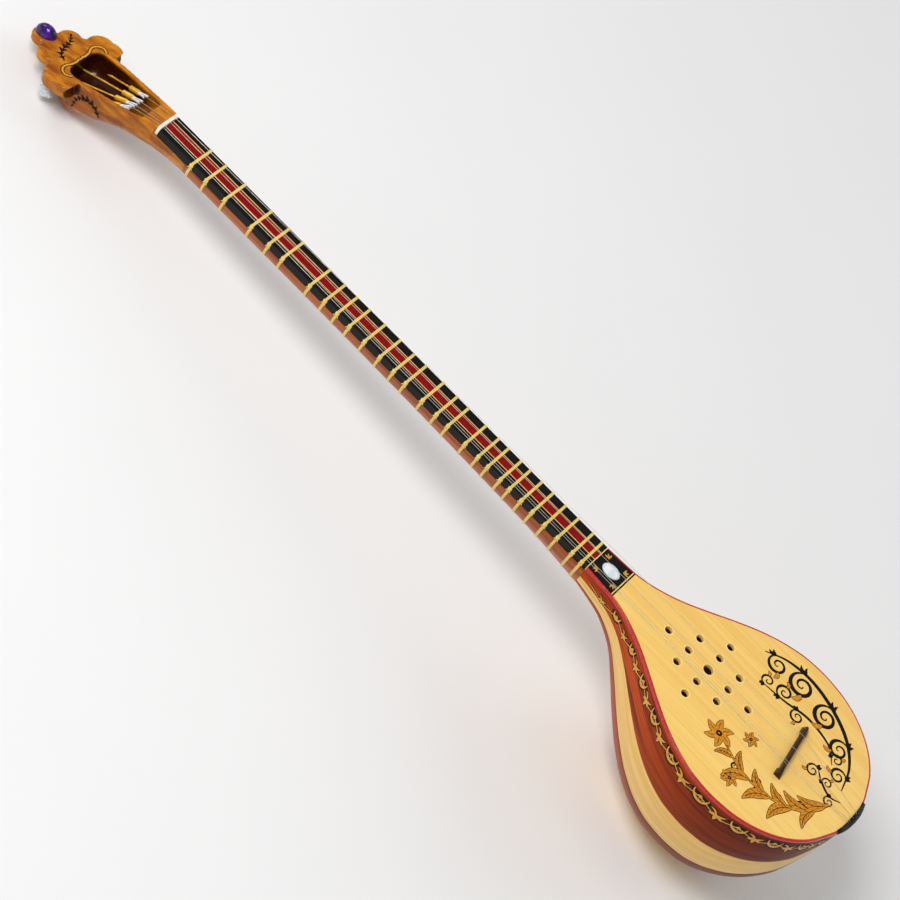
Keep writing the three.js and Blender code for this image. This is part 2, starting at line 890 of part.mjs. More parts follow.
// The peg box is hollowed from its face
function cavity() {
  const end = headLength - cavityEndWall;
  return loft(cavityShares.map(([share, narrowing, deepening]) => {
    const y = THREE.MathUtils.lerp(cavityStart, end, share);
    const swell = tableValue(headWidthShares, headShare(y));
    const body = THREE.MathUtils.lerp(headHalfWidthAtNut, headHalfWidth, swell);
    const half = (body - cavityWall) * narrowing;
    const floor = THREE.MathUtils.lerp(cavityDepthAtStart, cavityDepth, deepening);
    return [
      new THREE.Vector3(half, y, overrun),
      new THREE.Vector3(half, y, -floor + cavityWall),
      new THREE.Vector3(half - cavityWall, y, -floor),
      new THREE.Vector3(cavityWall - half, y, -floor),
      new THREE.Vector3(-half, y, -floor + cavityWall),
      new THREE.Vector3(-half, y, overrun),
    ];
  }));
}

// The seat for fretboard and nut, cut level
function rootSeat() {
  const length = 2 * spliceDistance;
  const width = 4 * headHalfWidth;
  const seat = new THREE.BoxGeometry(width, length, length);
  seat.translate(0, seatEnd - length / 2, neckTop + length / 2);
  return seat.rotateX(headTilt);
}

// A hollow at the neck-side end of each low lobe
function coves() {
  const inner = headHalfWidth + glueGap;
  const length = lowLobeX + lowLobeRadius + overrun - inner;
  const y = lowLobeY - lowLobeStretch - lowLobeRadius;
  return [-1, 1].map((side) => {
    const cove = new THREE.CylinderGeometry(coveRadius, coveRadius, length, lobeFacets);
    return cove.rotateZ(Math.PI / 2).translate(side * (inner + length / 2), y, -coveDepth);
  });
}

// A slot in the face under each string, from nut to cavity
function stringSlots() {
  return stringRoutes.map((route) => {
    const from = route.nutRear;
    const to = route.bend;
    const ends = [from, from.clone().lerp(to, slotEndShare(from, to))];
    return loft(ends.map((point) => {
      const floor = point.z - stringDiameter;
      return [
        new THREE.Vector3(point.x - slotWidth / 2, point.y, floor),
        new THREE.Vector3(point.x + slotWidth / 2, point.y, floor),
        new THREE.Vector3(point.x + slotWidth / 2, point.y, overrun + floor),
        new THREE.Vector3(point.x - slotWidth / 2, point.y, overrun + floor),
      ];
    }));
  });
}

function slotEndShare(from, to) {
  return Math.min((cavityStart + slotReach - from.y) / (to.y - from.y), 1);
}

// Tuners

const tuners = Array.from({ length: tunerCount }, (_, i) => {
  const offset = i - (tunerCount - 1) / 2;
  const slope = Math.abs(offset) < 1 ? innerTunerSlope : outerTunerSlope;
  const middle = barrelPlaceShare * headLength;
  const centre = new THREE.Vector3(offset * tunerPitch, middle, -barrelAxisDepth);
  const direction = new THREE.Vector3(0, 1, 0)
    .applyAxisAngle(new THREE.Vector3(1, 0, 0), -slope)
    .applyAxisAngle(new THREE.Vector3(0, 0, 1), -offset * tunerFan);
  return { centre, direction };
});

function along(tuner, distance) {
  return tuner.centre.clone().addScaledVector(tuner.direction, distance);
}

// Lays an object drawn along Y on its tuner's axis
function layOn(tuner, object) {
  object.position.copy(tuner.centre);
  object.quaternion.setFromUnitVectors(new THREE.Vector3(0, 1, 0), tuner.direction);
  return object;
}

// Distance along the screw at which its knob is clear of the peg box
function knobFace(tuner) {
  let distance = 0;
  const inside = (point, shift) => (
    point.y < headLength && Math.abs(point.x) + shift < headHalf(point.y)
  );
  while (inside(along(tuner, distance), -knobDiameter / 2)) distance += searchStep;
  return distance + knobStandOff;
}

function screwHole(tuner) {
  const radius = screwDiameter / 2 + screwClearance;
  const length = headLength;
  const hole = new THREE.CylinderGeometry(radius, radius, length, barrelFacets);
  hole.translate(0, length / 2 + barrelLength, 0);
  const bar = layOn(tuner, new THREE.Mesh(hole));
  bar.updateMatrix();
  return hole.applyMatrix4(bar.matrix);
}

function knobAndScrew(tuner) {
  const face = knobFace(tuner);
  const radius = knobDiameter / 2;
  const e = knobEdgeRadius;
  const screwStart = barrelLength / 2 - screwEntry;
  const rounded = (y, from) => [0, 1, 2].map((i) => {
    const angle = from + Math.PI / 4 * i;
    return new THREE.Vector2(radius - e + e * Math.cos(angle), y + e * Math.sin(angle));
  });
  const profile = [
    new THREE.Vector2(0, screwStart),
    new THREE.Vector2(screwDiameter / 2, screwStart),
    new THREE.Vector2(screwDiameter / 2, face),
    ...rounded(face + e, -Math.PI / 2),
    ...rounded(face + knobLength - e, 0),
    new THREE.Vector2(0, face + knobLength),
  ];
  return new THREE.LatheGeometry(profile, knobFacets);
}

// A brass barrel with a blind bore, and a white fish-tail hook on its string side
function barrelAndHook() {
  const radius = barrelDiameter / 2;
  const barrel = new THREE.CylinderGeometry(radius, radius, barrelLength, barrelFacets);
  const boreRadius = screwDiameter / 2 + screwClearance;
  const boreDepth = screwEntry + barrelTravel + screwClearance;
  const bore = new THREE.CylinderGeometry(boreRadius, boreRadius, boreDepth + overrun, barrelFacets);
  bore.translate(0, barrelLength / 2 + (overrun - boreDepth) / 2, 0);
  const hookBody = new THREE.ExtrudeGeometry(hookShape(), { depth: hookThickness, bevelEnabled: false });
  hookBody.translate(0, -barrelLength / 2, -hookThickness / 2);
  return cut(join([barrel, hookBody]), [bore]);
}

function hookShape() {
  const root = hookRootWidth / 2;
  const wide = hookWidth / 2;
  const slot = hookSlotWidth / 2;
  const foot = barrelDiameter / 4;
  return new THREE.Shape([
    new THREE.Vector2(-root, foot),
    new THREE.Vector2(-root, -hookLength / 4),
    new THREE.Vector2(-wide, -hookLength),
    new THREE.Vector2(-slot, hookVee - hookLength),
    new THREE.Vector2(-slot, hookSlotLength - hookLength),
    new THREE.Vector2(slot, hookSlotLength - hookLength),
    new THREE.Vector2(slot, hookVee - hookLength),
    new THREE.Vector2(wide, -hookLength),
    new THREE.Vector2(root, -hookLength / 4),
    new THREE.Vector2(root, foot),
  ]);
}

// Strings, each from its hook over nut and bridge to the tailpiece

const stringRoutes = tuners.map((tuner, i) => {
  const mouth = -barrelLength / 2 - hookLength;
  const end = along(tuner, mouth + hookSlotLength / 2);
  const bend = along(tuner, mouth - barrelTravel);
  const nutZ = nutRise + stringRise;
  const nutFront = new THREE.Vector3(stringsAtNut[i], -nutThickness / 2, nutZ);
  const nutRear = new THREE.Vector3(stringsAtNut[i], nutThickness / 2, nutZ);
  const bridgeY = stringsAtBridge[i] * Math.tan(bridgeSlant) - stringLength;
  return {
    end,
    bend,
    nutFront,
    nutRear: toHead(nutRear.clone()),
    bridge: new THREE.Vector3(stringsAtBridge[i], bridgeY, bridgeTopZ + stringRise),
    tail: new THREE.Vector3(stringsAtTail[i], tailY, lipTopZ() + stringRise),
  };
});

function string(route) {
  const path = [
    toLevel(route.end.clone()),
    toLevel(route.bend.clone()),
    toLevel(route.nutRear.clone()),
    route.nutFront,
    route.bridge,
    route.tail,
  ];
  return loft(path.map((point, i) => {
    const before = path[Math.max(i - 1, 0)];
    const after = path[Math.min(i + 1, path.length - 1)];
    const heading = unitTo(before, point).add(unitTo(point, after)).normalize();
    const side = new THREE.Vector3().crossVectors(heading, new THREE.Vector3(0, 0, 1)).normalize();
    const up = new THREE.Vector3().crossVectors(side, heading);
    return Array.from({ length: stringFacets }, (_, j) => {
      const angle = 2 * Math.PI * j / stringFacets;
      return point.clone()
        .addScaledVector(side, stringDiameter / 2 * Math.cos(angle))
        .addScaledVector(up, stringDiameter / 2 * Math.sin(angle));
    });
  }));
}

function unitTo(from, to) {
  return to.clone().sub(from).normalize();
}

// A cabochon: half an ellipsoid on a flat base
function cabochon(length, width, height) {
  const profile = [new THREE.Vector2(0, 0)];
  for (let i = 0; i <= domeFacets; i += 1) {
    const angle = Math.PI / 2 * i / domeFacets;
    profile.push(new THREE.Vector2(i === domeFacets ? 0 : Math.cos(angle), Math.sin(angle)));
  }
  const dome = new THREE.LatheGeometry(profile, stoneFacets);
  return dome.rotateX(Math.PI / 2).scale(width / 2, length / 2, height);
}

// Assembly

const instrument = new THREE.Group();
const head = new THREE.Group();
head.rotation.x = -headTilt;
instrument.add(head);

for (let i = 0; i < ribCount; i += 1) {
  const colour = i % 2 === 0 ? colours.brownWood : colours.paleWood;
  instrument.add(named(`rib_${i + 1}`, rib(i), finish(colour, 0.3)));
}
instrument.add(
  named('soundboard', soundboard(), finish(colours.soundboard, 0.35)),
  named('rim_binding', binding(), finish(colours.binding, 0.3)),
  named('tail_block', blockInside(stations.slice(-tailBlockStations)), finish(colours.neckWood, 0.6)),
  named('neck', neck(), finish(colours.neckWood, 0.35)),
  named('fretboard', fretboard(), finish(colours.blackWood, 0.3)),
  named('nut', nut(), finish(colours.bone, 0.3)),
  named('tailpiece', tailpiece(), finish(colours.blackWood, 0.35)),
);
const bar = named('bridge', bridge(), finish(colours.darkWood, 0.5));
bar.position.y = -stringLength;
instrument.add(bar);
fretCents.forEach((cents, i) => {
  const number = String(i + 1).padStart(2, '0');
  const loop = named(`fret_${number}`, fret(fretY(cents)), finish(colours.gut, 0.4));
  loop.position.y = fretY(cents);
  instrument.add(loop);
});
stringRoutes.forEach((route, i) => {
  instrument.add(named(`string_${i + 1}`, string(route), finish(colours.steel, 0.25, 1)));
});

const plateStoneForm = cabochon(plateStoneLength, plateStoneWidth, plateStoneHeight);
const plateStone = named('plate_stone', plateStoneForm, finish(colours.whiteStone, 0.1));
const plateStoneY = jointY - plateLength / 2;
plateStone.position.set(0, plateStoneY, rimZ(plateStoneY) + glueGap);
instrument.add(plateStone);

const pegBox = cut(
  join([headBlank(), ...crown()]),
  [rootSeat(), cavity(), ...coves(), ...stringSlots(), ...tuners.map(screwHole)],
);
head.add(named('peg_box', pegBox, finish(colours.headWood, 0.25)));
const crownStoneForm = cabochon(crownStoneLength, crownStoneWidth, crownStoneHeight);
const crownStone = named('crown_stone', crownStoneForm, finish(colours.violetStone, 0.05));
crownStone.position.set(0, topLobeY - crownStoneSetback, glueGap);
head.add(crownStone);
tuners.forEach((tuner, i) => {
  const knob = named(`tuner_knob_${i + 1}`, knobAndScrew(tuner), finish(colours.pearl, 0.2));
  const barrel = named(`tuner_barrel_${i + 1}`, barrelAndHook(), finish(colours.brass, 0.25, 1));
  head.add(layOn(tuner, knob), layOn(tuner, barrel));
});

// Rest: the lean at which the bowl and the peg box reach the ground together

const steepestLean = THREE.MathUtils.degToRad(22);
const leanTolerance = THREE.MathUtils.degToRad(1e-9);

function cornersOf(group, name) {
  const mesh = group.getObjectByName(name);
  group.updateWorldMatrix(true, true);
  const { position } = mesh.geometry.attributes;
  return Array.from({ length: position.count }, (_, i) => (
    new THREE.Vector3().fromBufferAttribute(position, i).applyMatrix4(mesh.matrixWorld)
  ));
}

function lowest(corners, lean) {
  return Math.min(...corners.map((corner) => corner.z * Math.cos(lean) - corner.y * Math.sin(lean)));
}

function restLean() {
  const bowl = cornersOf(instrument, `rib_${(ribCount + 1) / 2}`);
  const box = cornersOf(instrument, 'peg_box');
  let [low, high] = [0, steepestLean];
  while (high - low > leanTolerance) {
    const middle = (low + high) / 2;
    if (lowest(box, middle) > lowest(bowl, middle)) low = middle;
    else high = middle;
  }
  return low;
}

const setar = new THREE.Group();
instrument.rotation.x = -restLean();
setar.add(instrument);
const box = new THREE.Box3().setFromObject(setar, true);
instrument.position.set(0, -(box.min.y + box.max.y) / 2, -box.min.z);

export default setar;
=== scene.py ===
# A setar lying on its back on a pale floor.
# Lengths are millimetres in the level frame: y along the strings towards the head, z out of the
# soundboard, origin at the middle of the nut. toRow takes them to the row frame in metres.
import math

import bmesh
import bpy
import numpy as np
from mathutils import Matrix, Vector, geometry


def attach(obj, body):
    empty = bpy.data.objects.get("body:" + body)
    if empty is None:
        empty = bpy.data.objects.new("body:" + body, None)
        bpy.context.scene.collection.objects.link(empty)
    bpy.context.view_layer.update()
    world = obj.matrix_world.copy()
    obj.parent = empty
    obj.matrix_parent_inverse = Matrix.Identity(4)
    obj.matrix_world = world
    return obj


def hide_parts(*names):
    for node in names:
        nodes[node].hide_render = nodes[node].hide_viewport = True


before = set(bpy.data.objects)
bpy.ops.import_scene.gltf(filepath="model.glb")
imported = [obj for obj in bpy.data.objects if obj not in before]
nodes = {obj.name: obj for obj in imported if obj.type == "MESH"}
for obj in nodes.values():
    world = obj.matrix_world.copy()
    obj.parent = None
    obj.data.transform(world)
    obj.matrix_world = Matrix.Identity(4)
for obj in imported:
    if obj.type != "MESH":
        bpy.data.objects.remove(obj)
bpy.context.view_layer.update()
home = "instrument"  # the body that all fixed pieces ride on
chance = np.random.default_rng(7)
print("frame loaded")


# Where the level frame lies, measured from fretboard and nut
def placeLevelFrame():
    board = nodes["fretboard"].data
    top = max((face for face in board.polygons if face.normal.z > 0.9), key=lambda face: face.area)
    lean = math.atan2(top.normal.y, top.normal.z)
    level = Matrix.Rotation(lean, 3, "X")
    nutY = [(level @ vertex.co).y for vertex in nodes["nut"].data.vertices]
    origin = Vector((0, (min(nutY) + max(nutY)) / 2, (level @ top.center).z))
    place = Matrix.Rotation(-lean, 4, "X") @ Matrix.Translation(origin)
    return place @ Matrix.Scale(0.001, 4), lean


toRow, lean = placeLevelFrame()
headTilt = math.radians(12.5)
headToRow = toRow @ Matrix.Rotation(-headTilt, 4, "X")


# Finishes

class Wire:
    # A shader socket that takes part in sums
    def __init__(self, sheet, socket):
        self.sheet = sheet
        self.socket = socket

    def maths(self, operation, *values):
        return self.sheet.add("ShaderNodeMath", {"operation": operation}, values)

    def __add__(self, other):
        return self.maths("ADD", self, other)

    def __sub__(self, other):
        return self.maths("SUBTRACT", self, other)

    def __rsub__(self, other):
        return self.maths("SUBTRACT", other, self)

    def __mul__(self, other):
        return self.maths("MULTIPLY", self, other)

    def __abs__(self):
        return self.maths("ABSOLUTE", self)

    __radd__ = __add__
    __rmul__ = __mul__


class Sheet:
    # A node tree whose nodes are added through add()
    def __init__(self, tree):
        self.tree = tree

    def fill(self, socket, value):
        if isinstance(value, Wire):
            self.tree.links.new(value.socket, socket)
        elif isinstance(value, (tuple, list)) and len(value) == 3 and socket.type == "RGBA":
            socket.default_value = (*value, 1)
        else:
            socket.default_value = value

    def add(self, kind, settings=None, values=(), output=0):
        node = self.tree.nodes.new(kind)
        for key, value in (settings or {}).items():
            setattr(node, key, value)
        pairs = values.items() if isinstance(values, dict) else enumerate(values)
        for key, value in pairs:
            self.fill(node.inputs[key], value)
        return Wire(self, node.outputs[output])


class Finish(Sheet):
    # One material; look() fills its shader's sockets
    def __init__(self, name):
        self.material = bpy.data.materials.new(name)
        self.material.use_nodes = True
        super().__init__(self.material.node_tree)
        self.shader = self.tree.nodes["Principled BSDF"]

    def level(self):
        # Object coordinates in the level frame, in millimetres
        place = self.add("ShaderNodeTexCoord", output="Object")
        turn = {"vector_type": "TEXTURE"}
        values = {"Vector": place, "Location": toRow.translation, "Rotation": (-lean, 0, 0)}
        return self.add("ShaderNodeMapping", turn, {**values, "Scale": (0.001, 0.001, 0.001)})

    def grain(self):
        # Across and along the grain in millimetres, as stored on the mesh
        return self.add("ShaderNodeAttribute", {"attribute_name": "grain"}, output="Vector")

    def noise(self, vector, scale, detail=3, roughness=0.55, distortion=0):
        # The scale is one number, or one for each axis
        scale = scale if isinstance(scale, tuple) else (scale,) * 3
        place = self.add("ShaderNodeVectorMath", {"operation": "MULTIPLY"}, (vector, scale))
        values = {"Vector": place, "Scale": 1, "Detail": detail}
        values |= {"Roughness": roughness, "Distortion": distortion}
        return self.add("ShaderNodeTexNoise", {}, values, "Fac")

    def band(self, value, low, high):
        # 0 below low, 1 above high, smooth between
        values = {"Value": value, "From Min": low, "From Max": high}
        return self.add("ShaderNodeMapRange", {"interpolation_type": "SMOOTHSTEP"}, values)

    def blend(self, factor, one, other):
        # The colour sockets of a Mix node are its inputs 6 and 7 and its output 2
        return self.add("ShaderNodeMix", {"data_type": "RGBA"}, {0: factor, 6: one, 7: other}, 2)

    def look(self, **values):
        for key, value in values.items():
            self.fill(self.shader.inputs[key.replace("_", " ")], value)
        return self.material

    def relief(self, height, depth):
        return self.add("ShaderNodeBump", {}, {"Height": height, "Distance": depth})


def linear(red, green, blue):
    # A colour as seen, 0 to 255, to the scene's linear values
    return tuple(((c / 255 + 0.055) / 1.055) ** 2.4 if c > 10 else c / 3295
                 for c in (red, green, blue))


def wood(name, pale, dark, streak, rough=0.3, coat=0.2, shine=0.2,
         stored=False, tailShade=None, figure=0.12, hollow=None):
    # Lacquered wood; stored=True takes the grain from the mesh, the tail colour is painted shade that
    # darkens it towards the bowl's end, and hollow is the colour of painted shade in the places that
    # the mesh marks as carved out
    f = Finish(name)
    pale, dark = linear(*pale), linear(*dark)
    place = f.grain() if stored else f.level()
    broad = f.noise(place, tuple(s * 0.15 for s in streak), 3, 0.5, 0.4)
    grain = f.noise(place, streak, 6, 0.6, 0.3)
    fine = f.noise(place, tuple(s * 6 for s in streak), 3, 0.6)
    tone = f.band(grain * 0.6 + broad * 0.4, 0.5 - figure, 0.5 + figure)
    colour = f.blend(tone, pale, dark)
    colour = f.blend(f.band(fine, 0.56, 0.8) * 0.4, colour, tuple(c * 0.5 for c in dark))
    # painted shade: the wood darkens towards the bowl's end
    if tailShade:
        y = f.add("ShaderNodeSeparateXYZ", {}, (f.level(),), "Y")
        colour = f.blend(f.band(0 - y, 520, 720) * 0.75, colour, linear(*tailShade))
    # painted shade in the cavity and coves, where the mesh marks them
    if hollow:
        carved = f.add("ShaderNodeAttribute", {"attribute_name": "carved"}, output="Fac")
        colour = f.blend(carved, colour, linear(*hollow))
    return f.look(
        Base_Color=colour,
        Roughness=rough + fine * 0.1,
        Specular_IOR_Level=shine,
        Coat_Weight=coat,
        Coat_Roughness=0.05,
        Normal=f.relief(grain * 0.5 + fine * 0.5, 0.00003),
    )


def enamel(name, colour, other, rough=0.3, coat=0.4, scale=0.4, shine=0.4):
    # A nearly even coloured surface with a soft mottle
    f = Finish(name)
    mottle = f.noise(f.level(), scale, 5, 0.6)
    fine = f.noise(f.level(), scale * 9, 2, 0.5)
    return f.look(
        Base_Color=f.blend(f.band(mottle, 0.35, 0.65), linear(*colour), linear(*other)),
        Roughness=rough + fine * 0.1,
        Specular_IOR_Level=shine,
        Coat_Weight=coat,
        Coat_Roughness=0.05,
        Normal=f.relief(fine, 0.000015),
    )


def pearl(name):
    # White pearl with grey veins and a few dark specks
    f = Finish(name)
    place = f.level()
    vein = abs(f.noise(place, 0.28, 5, 0.6, 1.6) - 0.5)
    speck = f.band(f.noise(place, 1.3, 3, 0.5), 0.66, 0.74)
    cloud = f.noise(place, 0.12)
    colour = f.blend(f.band(cloud, 0.35, 0.65), linear(252, 252, 250), linear(226, 232, 236))
    colour = f.blend(1 - f.band(vein, 0, 0.045), colour, linear(150, 158, 166))
    colour = f.blend(speck * 0.8, colour, linear(60, 60, 62))
    return f.look(Base_Color=colour, Roughness=0.16 + cloud * 0.08,
                  Coat_Weight=0.9, Coat_Roughness=0.03)


def gem(name, deep, bright, milk=0):
    # A polished stone with lighter and darker clouds inside
    f = Finish(name)
    cloud = f.noise(f.level(), 0.16, 5, 0.6, 1)
    fleck = f.band(f.noise(f.level(), 0.6, 4, 0.55, 0.6), 0.6, 0.72) * milk
    colour = f.blend(f.band(cloud, 0.36, 0.68), linear(*deep), linear(*bright))
    colour = f.blend(fleck, colour, linear(250, 250, 255))
    return f.look(Base_Color=colour, Roughness=0.05 + cloud * 0.04, Specular_IOR_Level=0.25,
                  Coat_Weight=0.45, Coat_Roughness=0.02)


def brushed(name, colour, other, metal=0.7):
    # Drawn or turned metal with fine lines along y
    f = Finish(name)
    line = f.noise(f.level(), (9, 0.3, 9), 3, 0.6)
    stain = f.noise(f.level(), 0.3)
    return f.look(
        Base_Color=f.blend(f.band(stain, 0.3, 0.7), linear(*colour), linear(*other)),
        Roughness=0.22 + line * 0.14,
        Metallic=metal,
        Normal=f.relief(line, 0.00001),
    )


finishes = {  # colours as seen, 0 to 255
    # brown: its tail colour is painted shade, darker towards the bowl's end
    "brown": wood("brown_walnut", (202, 78, 9), (118, 36, 4), (0.9, 0.012, 0.9),
                  stored=True, tailShade=(70, 15, 3), coat=0.06, shine=0.06),
    "pale": wood("pale_maple", (252, 212, 128), (236, 184, 94), (0.7, 0.012, 0.7),
                 stored=True, coat=0.15, shine=0.15),
    "board": wood("mulberry_board", (253, 212, 120), (245, 196, 102),
                  (0.85, 0.006, 0.85), coat=0.1),
    "neck": wood("brown_neck", (190, 98, 30), (132, 54, 14), (0.6, 0.014, 0.6)),
    # head: hollow is the colour of painted shade in its cavity and coves
    "head": wood("amber_head", (226, 143, 20), (138, 64, 4), (0.16, 0.03, 0.16),
                 rough=0.22, figure=0.15, coat=0.26, shine=0.14, hollow=(46, 6, 1)),
    "black": wood("black_wood", (15, 12, 12), (5, 4, 4), (0.5, 0.014, 0.5),
                  rough=0.22, coat=0, shine=0.22),
    "dark": wood("dark_bridge_wood", (60, 32, 28), (28, 13, 12), (0.25, 0.6, 0.6), coat=0.1),
    "red": enamel("red_binding", (206, 16, 10), (170, 6, 5), coat=0.5),
    "strip": enamel("red_strip", (152, 2, 2), (118, 1, 2), rough=0.4, coat=0, shine=0.15),
    "cream": enamel("cream_line", (255, 224, 146), (248, 206, 118)),
    "bone": enamel("bone_white", (255, 250, 238), (246, 236, 214)),
    "gut": enamel("gut_yellow", (255, 236, 142), (246, 208, 96), coat=0.3, scale=1.1),
    "gold": enamel("gold_paint", (232, 172, 46), (200, 130, 24), 0.35, 0.2, 0.8),
    "ochre": enamel("ochre_paint", (222, 152, 34), (196, 118, 16), 0.45, 0, 0.6, shine=0.2),
    "ink": enamel("black_ink", (18, 10, 8), (8, 5, 5), 0.5, 0, shine=0.15),
    "glint": enamel("pale_halo", (255, 230, 160), (252, 220, 140), 0.4, 0),
    "pearl": pearl("marbled_pearl"),
    "violet": gem("violet_stone", (14, 1, 28), (78, 16, 150)),
    "opal": gem("white_opal", (212, 222, 230), (240, 244, 246), 0.5),
    "brass": brushed("drawn_brass", (255, 208, 84), (240, 176, 52), metal=0.45),
    "steel": brushed("drawn_steel", (236, 226, 206), (206, 196, 178)),
    "silver": enamel("white_hook", (250, 250, 250), (234, 236, 240), 0.2, 0.5),
}
print("finishes made")


# Meshes

def edited(mesh, *steps):
    # The mesh after the steps, each of which takes a bmesh
    bm = bmesh.new()
    bm.from_mesh(mesh)
    for step in steps:
        step(bm)
    bm.to_mesh(mesh)
    bm.free()
    return mesh


def outsideOut(bm):
    bmesh.ops.recalc_face_normals(bm, faces=bm.faces)


def meshFrom(name, parts, place=toRow):
    # Parts are pairs of points and faces
    points, faces = [], []
    for some, theirs in parts:
        base = len(points)
        points.extend(Vector(point) for point in some)
        faces.extend([base + corner for corner in face] for face in theirs)
    mesh = bpy.data.meshes.new(name)
    mesh.from_pydata([place @ point for point in points], [], faces)
    return edited(mesh, outsideOut)


def objectOf(name, data):
    piece = bpy.data.objects.new(name, data)
    bpy.context.scene.collection.objects.link(piece)
    return piece


def change(piece, kind, **settings):
    # Adds a modifier and makes it real
    step = piece.modifiers.new(kind, kind)
    for key, value in settings.items():
        setattr(step, key, value)
    bake(piece)


def bake(piece):
    graph = bpy.context.evaluated_depsgraph_get()
    mesh = bpy.data.meshes.new_from_object(piece.evaluated_get(graph))
    piece.modifiers.clear()
    piece.data = mesh


def cut(piece, tools):
    # Takes each tool away from the piece in turn
    def inTriangles(bm):
        bmesh.ops.triangulate(bm, faces=bm.faces)

    edited(piece.data, inTriangles)
    for tool in tools:
        edited(tool.data, inTriangles)
        change(piece, "BOOLEAN", operation="DIFFERENCE", solver="EXACT", object=tool)
        bpy.data.objects.remove(tool)


def remesh(piece, size):
    # One skin round everything in the piece
    change(piece, "REMESH", mode="VOXEL", voxel_size=size / 1000)


def bevel(piece, width, angle=30):
    change(piece, "BEVEL", width=width / 1000, segments=2, limit_method="ANGLE",
           angle_limit=math.radians(angle))


def complete(piece, look, body=home, stands=(), sharp=32):
    # The last step of each piece: finish, shading, body, and the CAD nodes that it stands for
    piece.data.materials.clear()
    piece.data.materials.append(finishes[look])
    piece.data.shade_smooth()
    piece.data.set_sharp_from_angle(angle=math.radians(sharp))
    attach(piece, body)
    if stands:
        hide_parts(*stands)


def made(name, parts, look, body=home, stands=(), place=toRow, edge=0, sharp=32):
    piece = objectOf(name, meshFrom(name, parts, place))
    if edge:
        bevel(piece, edge)
    complete(piece, look, body, stands, sharp)


def loft(rings):
    # A skin over rings of points, closed at both ends
    rings = np.asarray(rings, float)
    count, around = rings.shape[:2]
    index = np.arange(count * around).reshape(count, around)
    here, there = index[:-1], index[1:]
    quads = np.stack([here, np.roll(here, -1, 1), np.roll(there, -1, 1), there], -1).reshape(-1, 4)
    return rings.reshape(-1, 3), quads.tolist() + [index[0][::-1].tolist(), index[-1].tolist()]


def lathe(profile, steps, place):
    # Turns (radius, height) pairs round z; the first and last lie on the axis
    turn = np.linspace(0, 2 * math.pi, steps, endpoint=False)
    inner = profile[1:-1]
    rings = np.array([[(r * math.cos(a), r * math.sin(a), h) for a in turn] for r, h in inner])
    points, faces = loft(rings)
    faces = faces[:-2]
    low, high = len(points), len(points) + 1
    points = np.vstack([points, [(0, 0, profile[0][1]), (0, 0, profile[-1][1])]])
    last = (len(inner) - 1) * steps
    for i in range(steps):
        j = (i + 1) % steps
        faces.append([low, j, i])
        faces.append([high, last + i, last + j])
    return [place @ Vector(point) for point in points], faces


def smooth(places, values):
    # A curve through the values that never swings past them
    x = np.array(places, float)
    y = np.array(values, float)
    step = np.diff(x)
    rise = np.diff(y) / step
    slope = np.concatenate(([rise[0]], np.zeros(len(x) - 2), [rise[-1]]))
    low, high = rise[:-1], rise[1:]
    same = low * high > 0
    slope[1:-1][same] = (2 * low * high)[same] / (low + high)[same]

    def value(q):
        q = np.clip(q, x[0], x[-1])
        i = np.clip(np.searchsorted(x, q) - 1, 0, len(step) - 1)
        t = (q - x[i]) / step[i]
        start = y[i] * (1 + 2 * t) + slope[i] * step[i] * t
        end = y[i + 1] * (3 - 2 * t) + slope[i + 1] * step[i] * (t - 1)
        return start * (1 - t) ** 2 + end * t * t

    return value


def columnOf(table, column=1):
    return smooth([row[0] for row in table], [row[column] for row in table])


def mix(low, high, share):
    return low + (high - low) * share


# The bowl's form

bowl = {
    "joint": -458, "length": 268, "half": 84.7, "depth": 144.5,
    "jointHalf": 15, "jointDepth": 31, "tailHalf": 8, "tailDepth": 19,
    "dropAtJoint": 1.5, "dropAtTail": 5, "seat": 3.3, "ease": 0.998, "jointGap": 0.1, "rows": 130,
    # share of the length, and of the swell in width and depth
    "neckSide": [
        (0, 0, 0), (0.052, 0.014, 0.03), (0.104, 0.032, 0.07), (0.149, 0.072, 0.128),
        (0.194, 0.136, 0.207), (0.25, 0.244, 0.356), (0.325, 0.43, 0.56), (0.399, 0.624, 0.733),
        (0.474, 0.796, 0.869), (0.549, 0.921, 0.958), (0.612, 0.983, 0.992), (0.672, 1, 1),
    ],
    "tailSide": [
        (0.735, 0.981, 0.99), (0.791, 0.932, 0.95), (0.847, 0.844, 0.875), (0.892, 0.738, 0.788),
        (0.929, 0.613, 0.682), (0.959, 0.464, 0.552), (0.981, 0.287, 0.345), (0.989, 0.217, 0.235),
        (0.9945, 0.152, 0.15), (0.998, 0.082, 0.075), (1, 0, 0),
    ],
}
tailY = bowl["joint"] - bowl["length"]


def bowlRows():
    # Place along the skin, y, half width, depth and slope of each row, joint to tail
    sides = [(bowl["neckSide"], "joint"), (bowl["tailSide"], "tail")]
    table = np.array([
        (bowl["joint"] - share * bowl["length"], mix(bowl[end + "Half"], bowl["half"], wide),
         mix(bowl[end + "Depth"], bowl["depth"], deep))
        for rows, end in sides for share, wide, deep in rows
    ])
    chord = np.concatenate(([0], np.cumsum(np.linalg.norm(np.diff(table, axis=0), axis=1))))
    t = np.linspace(0, chord[-1], bowl["rows"])
    y, half, depth = (smooth(chord, column)(t) for column in table.T)
    slope = np.arctan2((np.gradient(half) + np.gradient(depth)) / 2, -np.gradient(y))
    slope[0] = slope[-1] = 0
    return t, y, half, depth, slope


skinT, skinY, skinHalf, skinDepth, skinSlope = bowlRows()


def rimZ(y):
    return -mix(bowl["dropAtJoint"], bowl["dropAtTail"], (bowl["joint"] - y) / bowl["length"])


